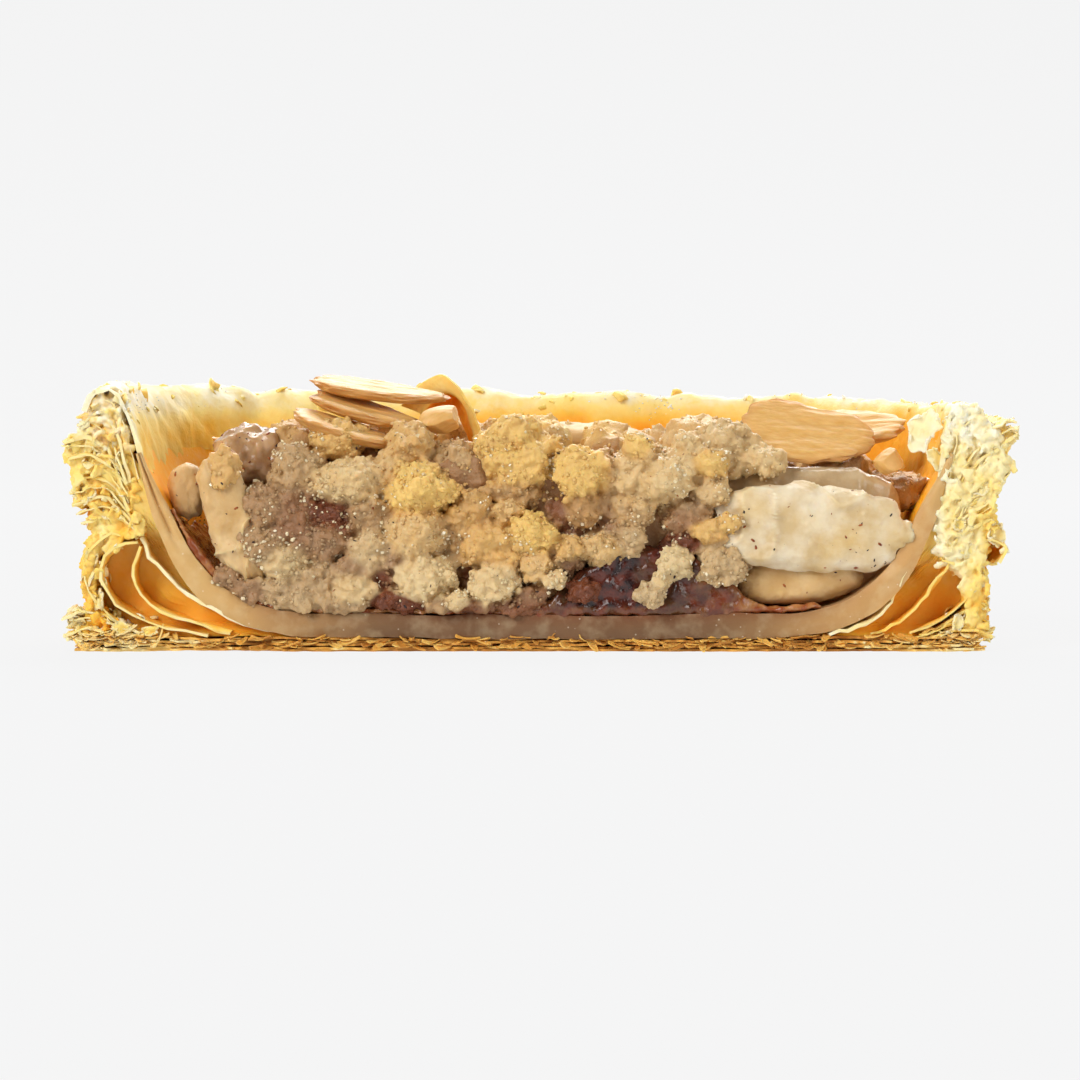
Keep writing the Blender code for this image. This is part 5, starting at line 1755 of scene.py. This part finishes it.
    def build(self) -> None:
        """Makes the crumble, its grains and the jam."""
        left, right = self.front()
        front = Soup.joined([left, right])
        lumps = self.heap_lumps()
        heap = self.heap(lumps)
        piece("cut_crumble_left", left, CRUMBLE, ("crumble_filling",), crease=None, mend=False)
        piece("cut_crumble_right", right, CRUMBLE, crease=None, mend=False)
        piece("heaped_crumble", heap, CRUMBLE, crease=None, mend=False)
        crumbs = self.loose_crumbs([(front, 5000, 5.0, CUT_LUMPS), (heap, 2600, 16.0, lumps)])
        piece("loose_crumbs", crumbs, CRUMBS, crease=None)
        crystals = self.crystals([(front, 1500, 5.0), (heap, 700, 16.0)])
        piece("sugar_crystals", crystals, CRYSTAL_SUGAR, crease=30.0)
        vanilla = self.flecks([(front, 120, 5.0), (heap, 160, 16.0)], 0.1, 0.3)
        piece("vanilla_flecks", vanilla, DARK_SPICE, crease=None)
        cinnamon = self.flecks([(front, 130, 5.0), (heap, 160, 16.0)], 0.09, 0.26)
        piece("cinnamon_flecks", cinnamon, RUST_SPICE, crease=None)
        piece("jam_spread", self.jam(), JAM, ("jam_layer",), crease=None, mend=False)


# ---- apple ----------------------------------------------------------------------------------------
@dataclass(frozen=True)
class UprightSlice:
    """A slice standing along the cut: middle, half sizes, span in y, tilt, how square, which finish."""

    name: str
    middle: tuple[float, float]
    half: tuple[float, float]
    span: tuple[float, float]
    tilt: float
    squareness: float
    finish: Finish
    rough: float = 0.3


@dataclass(frozen=True)
class LyingSlice:
    """A half-moon lying on the crumble: place with height over the heap, half sizes, turns."""

    name: str
    middle: tuple[float, float, float]
    half: tuple[float, float, float]
    turns: tuple[float, float, float]


@dataclass
class ApplePieces:
    """All the slices and chunks of apple."""

    filling: Filling
    upright: tuple[UprightSlice, ...] = (
        UprightSlice("apple_slice_front_right", (30.0, 13.7), (10.6, 4.7), (-1.2, 2.4), -3, 2.9, APPLE, 0.42),
        UprightSlice("apple_slice_upper_right", (29, 16.2), (11.4, 4.4), (2.6, 6.4), -1, 2.8, WET_APPLE, 0.2),
        UprightSlice("apple_slice_lower_right", (28.6, 8.1), (7.4, 2.85), (1, 7.5), 7, 2.3, SOFT_APPLE, 0.26),
        UprightSlice("apple_slice_left", (-35.4, 14.8), (2.5, 7.9), (-0.8, 2.8), 20, 2.3, SOFT_APPLE, 0.46),
        UprightSlice("apple_chunk_left_wall", (-40.6, 17.9), (2.0, 3.3), (2.4, 8.4), 6, 2.2, SOFT_APPLE),
    )
    lying: tuple[LyingSlice, ...] = (
        LyingSlice("apple_slice_top_middle", (5.5, 17.0, 1.9), (7.6, 5.2, 1.6), (6, 4, -8)),
        LyingSlice("apple_slice_top_left", (-19.5, 32.0, 1.4), (8.2, 4.8, 1.6), (-5, -5, 20)),
        LyingSlice("apple_slice_top_right", (28.6, 30.0, 1.4), (8.0, 5.0, 1.6), (-5, 5, -34)),
    )

    def upright_slice(self, cut: UprightSlice, seed: float) -> Soup:
        """A disc stood on edge: its outline a superellipse, its faces nearly flat and creased."""
        angle, away, level = disc(65, 160, 5.0)
        c, s = np.cos(angle), np.sin(angle)
        edge = rounded_square(angle, cut.squareness)
        probe = np.stack([8 * c, 8 * s, level], -1)
        edge = edge * (1 + 0.1 * cut.rough * layered_noise(probe, 3.0, seed + 4) / 0.4)
        turn = math.radians(cut.tilt)
        u, w = cut.half[0] * away * edge * c, cut.half[1] * away * edge * s
        front, back = cut.span
        x = cut.middle[0] + u * math.cos(turn) - w * math.sin(turn)
        z = cut.middle[1] + u * math.sin(turn) + w * math.cos(turn)
        skin = ringed(np.stack([x, (front + back) / 2 + level * (back - front) / 2, z], -1))
        points = skin.points
        move = noise_field(points, 3.2, seed) + 0.6 * layered_noise(points, 1.3, seed + 1)
        crease = np.exp(-np.abs(noise_field(points, 4.5, seed + 2)) / 0.06)
        return Soup(points + point_normals(skin) * (cut.rough * (move - 1.4 * crease))[:, None], skin.faces)

    def lying_slice(self, cut: LyingSlice, seed: float) -> Soup:
        """A disc pulled to a half-moon that bows up in the middle."""
        angle, away, level = disc(49, 130, 4.0)
        c, s = away * np.cos(angle), away * np.sin(angle)
        s = np.where(s > 0, s, 0.45 * s + 0.22 * (1 - np.cos(angle) ** 2) * s)
        grid = np.stack([cut.half[0] * c, cut.half[1] * s, cut.half[2] * (level + 0.25 * (1 - c * c))], -1)
        grid += 0.22 * layered_noise(grid, 2.4, seed)[..., None] * np.stack([c, s, np.sign(level)], -1)
        x, y, lift = cut.middle
        place = np.array([x, y, float(self.filling.mound_height(x, y)) + lift])
        return ringed(turned(grid, cut.turns) + place)

    def spiced_chunk(self) -> Soup:
        """Three joined lobes, glossy and lumpy."""
        lobes = (
            Lump((-34.4, 7.4, 21.2), (3.6, 3.4, 3.5)),
            Lump((-31.6, 7.2, 21.6), (3.0, 3.2, 3.6)),
            Lump((-33.2, 7.8, 23.4), (3.2, 3.0, 2.0)),
        )
        parts = [self.filling.clump(lobe, 200.0 + i) for i, lobe in enumerate(lobes)]
        skin = fused(Soup.joined(parts), 0.3)
        return self.filling.roughened(skin, 0.2, 1.5, 8.0)

    def build(self) -> None:
        """Makes every slice, and the spice on the faces that stand at the cut."""
        seen = []
        for i, cut in enumerate(self.upright):
            soup = self.upright_slice(cut, 5.0 + i)
            piece(cut.name.replace("apple", "cooked_apple"), soup, cut.finish, (cut.name,), crease=None)
            if cut.finish is not WET_APPLE:
                seen.append((soup, 110 if cut.finish is APPLE else 28, 5.0))
        for i, cut in enumerate(self.lying):
            soup = self.lying_slice(cut, 15.0 + i)
            piece(cut.name.replace("apple", "cooked_apple"), soup, SOFT_APPLE, (cut.name,), crease=None)
        chunk = self.spiced_chunk()
        piece("cinnamon_apple_chunk", chunk, SPICED_APPLE, ("apple_chunk_spiced",), crease=None, mend=False)
        seen.append((chunk, 70, 15.0))
        piece("cinnamon_on_apple", self.filling.flecks(seen, 0.1, 0.38), RUST_SPICE, crease=None)
        piece("vanilla_on_apple", self.filling.flecks(seen, 0.08, 0.28), DARK_SPICE, crease=None)


# ---- almonds and the curl -------------------------------------------------------------------------
@dataclass(frozen=True)
class AlmondFlake:
    """A shaved almond: place, length, width and turns; over_heap counts its height from the heap."""

    name: str
    middle: tuple[float, float, float]
    length: float
    width: float
    turns: tuple[float, float, float]
    over_heap: bool = False


@dataclass
class Toppings:
    """Sliced almonds, their chips and the loose curl of pastry."""

    filling: Filling
    thickness: float = 1.5
    cup: float = 0.4
    sharp: float = 40.0
    hood: tuple[tuple[float, float], ...] = (
        (-16.6, 27.6), (-14.6, 29.9), (-12.0, 31.2), (-10.2, 30.0), (-8.6, 27.2), (-7.5, 24.4), (-7, 22.2),
    )  # fmt: skip
    flakes: tuple[AlmondFlake, ...] = (
        AlmondFlake("almond_flake_upper_left", (-19.0, 11.6, 29.0), 15.2, 8.2, (9, 7, 4)),
        AlmondFlake("almond_flake_middle_left", (-20.6, 9.0, 26.7), 12.4, 7.8, (10, 15, -5)),
        AlmondFlake("almond_flake_lower_left", (-22.8, 5.4, 24.6), 12.0, 7.0, (11, 17, 3)),
        AlmondFlake("almond_flake_right", (30.0, 7.4, 24.2), 15.6, 8.4, (50, 5, 3)),
        AlmondFlake("almond_flake_right_behind", (34.6, 14.0, 24.4), 14.0, 8.0, (30, -4, -10)),
        AlmondFlake("almond_flake_back_left", (-33.6, 24.0, 1.8), 15.0, 8.4, (8, 6, 68), True),
        AlmondFlake("almond_flake_back_middle", (-3.0, 36.0, 1.7), 16.0, 8.6, (-6, -5, -20), True),
        AlmondFlake("almond_flake_back_right", (14.2, 35.4, 1.7), 14.5, 8.0, (6, 6, 30), True),
    )

    def flake(self, flake: AlmondFlake, seed: float) -> Soup:
        """A disc pulled to a point at one end and cupped, with fibres along it and a torn rim."""
        angle, away, level = disc(45, 124, 5.0)
        cos, sin = np.cos(angle), np.sin(angle)
        torn = noise_field(np.stack([6 * cos, 6 * sin, level * 2], -1), 1.2, seed)
        layers = 0.06 * noise_field(np.stack([4 * cos, 4 * sin, level * 4.0], -1), 1.0, seed + 6)
        out = away * (1 + 0.07 * torn + layers * away**6) * rounded_square(angle, 2.7)
        c, s = out * cos, out * sin
        along = flake.length / 2 * c
        across = flake.width / 2 * s * (1.0 - 0.24 * cos - 0.1 * cos**2)
        cup = self.cup * (c**2 + (across / (flake.width / 2)) ** 2)
        fibre = noise_field(np.stack([along * 0.25, across * 1.6, level], -1), 1.0, seed)
        sides = np.stack([along * 0.12, across * 0.9, np.sign(level) * 3], -1)
        step = 0.2 * noise_field(sides, 1.0, seed + 3)
        height = level * (self.thickness / 2) * (1 + 0.2 * fibre) + cup + step * (1 - away)
        values = {"along": along, "across": across, "rim": away**10}
        grid = np.stack([along, across, height], -1)
        place = np.array(flake.middle)
        if flake.over_heap:
            place[2] += float(self.filling.mound_height(place[0], place[1]))
        return ringed(turned(grid, flake.turns) + place, values)

    def chip(self, middle: tuple, half: tuple, turns: tuple, seed: int) -> Soup:
        """A broken corner of almond: the room inside a few planes, its edges left sharp."""
        made = ball(5)
        planes = random_turns(10, np.random.default_rng(seed))[:, :, 0]
        facing = np.maximum(made.points @ planes.T, 0.05)
        reach = np.minimum((0.72 / facing).min(1), 1.1) * (1 + 0.05 * noise_field(made.points, 0.5, seed))
        points = made.points * reach[:, None] * np.array(half)
        values = {"along": points[:, 0], "across": points[:, 1], "rim": np.full(len(points), 0.12)}
        return Soup(turned(points, turns) + np.array(middle), made.faces, values)

    def curl(self) -> Soup:
        """A leaf folded like a hood: an arch in front that shrinks and sinks towards its back.

        Along t the arch rises from its left foot, turns over and comes down; along v it first draws
        in like a lapel, then goes back and closes to a third of its size, so that its inside shows.
        """
        t, v = np.linspace(0, 1, 60)[:, None], np.linspace(0, 1, 22)[None]
        front = smooth_curve(self.hood, t.ravel())[:, None]
        middle = np.array([-10.6, 24.6])
        lapel = eased(v, 0.0, 0.45)
        drawn = 1.0 - 0.2 * lapel * (1.0 + 0.8 * eased(-t, -0.6, -0.2)) - 0.3 * eased(v, 0.45, 1.0)
        section = middle + (front - middle) * drawn[..., None]
        depth = 15.2 + 0.5 * lapel + 4.6 * eased(v, 0.3, 1.0) + 0.3 * np.sin(t * 7)
        grid = np.stack(np.broadcast_arrays(section[..., 0], depth, section[..., 1]), -1).copy()
        grid += 0.22 * noise_field(grid, 1.8, 3.0)[..., None]
        # Painted shade: the inside of the hood, from the lapel back, is painted amber.
        bake = 0.3 + 0.46 * eased(v, 0.36, 0.5) + 0.06 * noise_field(grid, 1.5, 4.0)
        return thick_sheet(grid, 0.4, {"bake": bake, "sugar": 0 * bake})

    def build(self) -> None:
        """Makes the almonds, the two chips and the curl."""
        for i, flake in enumerate(self.flakes):
            name = flake.name.replace("almond_flake", "shaved_almond")
            piece(name, self.flake(flake, 3.0 + i * 1.3), ALMOND, (flake.name,), self.sharp)
        left = self.chip((-12.0, 7.0, 25.9), (2.9, 2.2, 1.5), (10, -12, 20), 3)
        right = self.chip((39.2, 3.8, 21.3), (1.9, 1.7, 1.5), (0, 20, 10), 4)
        piece("almond_corner_left", left, ALMOND, ("almond_chip_left",), self.sharp)
        piece("almond_corner_right", right, ALMOND, ("almond_chip_right",), self.sharp)
        piece("loose_pastry_curl", self.curl(), LEAF, ("pastry_curl",))


# ---- studio ---------------------------------------------------------------------------------------
class Light(Enum):
    """The soft boxes: place in metres, size in metres, power in watts."""

    BACK_TOP = ((0.1, 0.55, 0.6), 0.6, 7.5)
    FRONT_LEFT = ((-0.75, -0.8, 0.7), 0.7, 14.5)
    FRONT_RIGHT = ((0.9, -0.7, 0.5), 0.6, 5.0)


@dataclass
class Studio:
    """A sweep of lit acrylic, soft boxes and a long lens nearly level with the tart."""

    distance: float = 0.45
    lens: float = 133.4
    elevation: float = 2.6
    aim: tuple[float, float] = (-0.56, 12.6)
    sheet_colour: str = "#2C2C2D"
    sheet_glow: float = 0.88
    wall_glow: float = 0.8
    ceiling_glow: float = 0.3

    def camera(self) -> None:
        """A camera that looks a little down at the cut."""
        data = bpy.data.cameras.new("camera")
        data.lens, data.sensor_width, data.clip_start, data.clip_end = self.lens, 36.0, 0.01, 10.0
        eye = bpy.data.objects.new("camera", data)
        bpy.context.scene.collection.objects.link(eye)
        target = Vector(PLAN.world([self.aim[0], 0.0, self.aim[1]]) * MM)
        tilt = math.radians(self.elevation)
        eye.location = target + Vector((0.0, -math.cos(tilt), math.sin(tilt))) * self.distance
        eye.rotation_euler = (target - eye.location).to_track_quat("-Z", "Y").to_euler()
        bpy.context.scene.camera = eye

    def lights(self) -> None:
        """Soft boxes that face the tart, white walls and a darker ceiling."""
        for light in Light:
            place, size, power = light.value
            data = bpy.data.lights.new(light.name.lower(), "AREA")
            data.shape, data.size, data.energy = "SQUARE", size, power
            lamp = bpy.data.objects.new(light.name.lower(), data)
            lamp.location = place
            lamp.rotation_euler = (Vector((0, 0, 0.01)) - Vector(place)).to_track_quat("-Z", "Y").to_euler()
            bpy.context.scene.collection.objects.link(lamp)
        world = bpy.data.worlds.new("studio")
        world.use_nodes = True
        tree = world.node_tree
        way = add_node(tree, "ShaderNodeTexCoord").outputs["Generated"]
        height = add_node(tree, "ShaderNodeSeparateXYZ", {0: way}).outputs["Z"]
        glow = ramp(tree, height, 0.25, 0.6, self.wall_glow, self.ceiling_glow)
        fed(tree, tree.nodes["Background"], {"Strength": glow})
        bpy.context.scene.world = world
        bpy.context.scene.view_settings.view_transform = "Standard"

    def floor(self) -> None:
        """The acrylic: flat under the tart, curving up a good way behind it."""
        bend = np.linspace(0, math.pi / 2, 24)
        run = np.concatenate([[-1500.0], 600 + 500 * np.sin(bend), [1100.0]])
        rise = np.concatenate([[0.0], 500 - 500 * np.cos(bend), [1800.0]])
        x = np.array([-2200.0, 2200.0])
        grid = np.stack(np.broadcast_arrays(x[None], run[:, None], rise[:, None]), -1)
        mesh = mesh_of("acrylic", Soup(grid.reshape(-1, 3), grid_faces(len(run), 2)[:, ::-1]))
        mesh.shade_smooth()
        made = bpy.data.materials.new("lit_acrylic")
        made.use_nodes = True
        inputs = {
            "Base Color": linear(self.sheet_colour),
            "Roughness": 0.8,
            "Specular IOR Level": 0.0,
            "Emission Color": linear("#FFFFFF"),
            "Emission Strength": self.sheet_glow,
        }
        fed(made.node_tree, made.node_tree.nodes["Principled BSDF"], inputs)
        mesh.materials.append(made)
        sheet = bpy.data.objects.new("acrylic", mesh)
        bpy.context.scene.collection.objects.link(sheet)

    def build(self) -> None:
        """Sets up the whole studio."""
        self.floor()
        self.lights()
        self.camera()


def main() -> None:
    """Builds the tart from the case inwards, then the studio; each piece logs its triangle count."""
    logging.basicConfig(level=logging.INFO, format="%(name)s %(message)s")
    PastryCase().build()
    filling = Filling()
    filling.build()
    ApplePieces(filling).build()
    Toppings(filling).build()
    Studio().build()


if __name__ == "__main__":
    main()
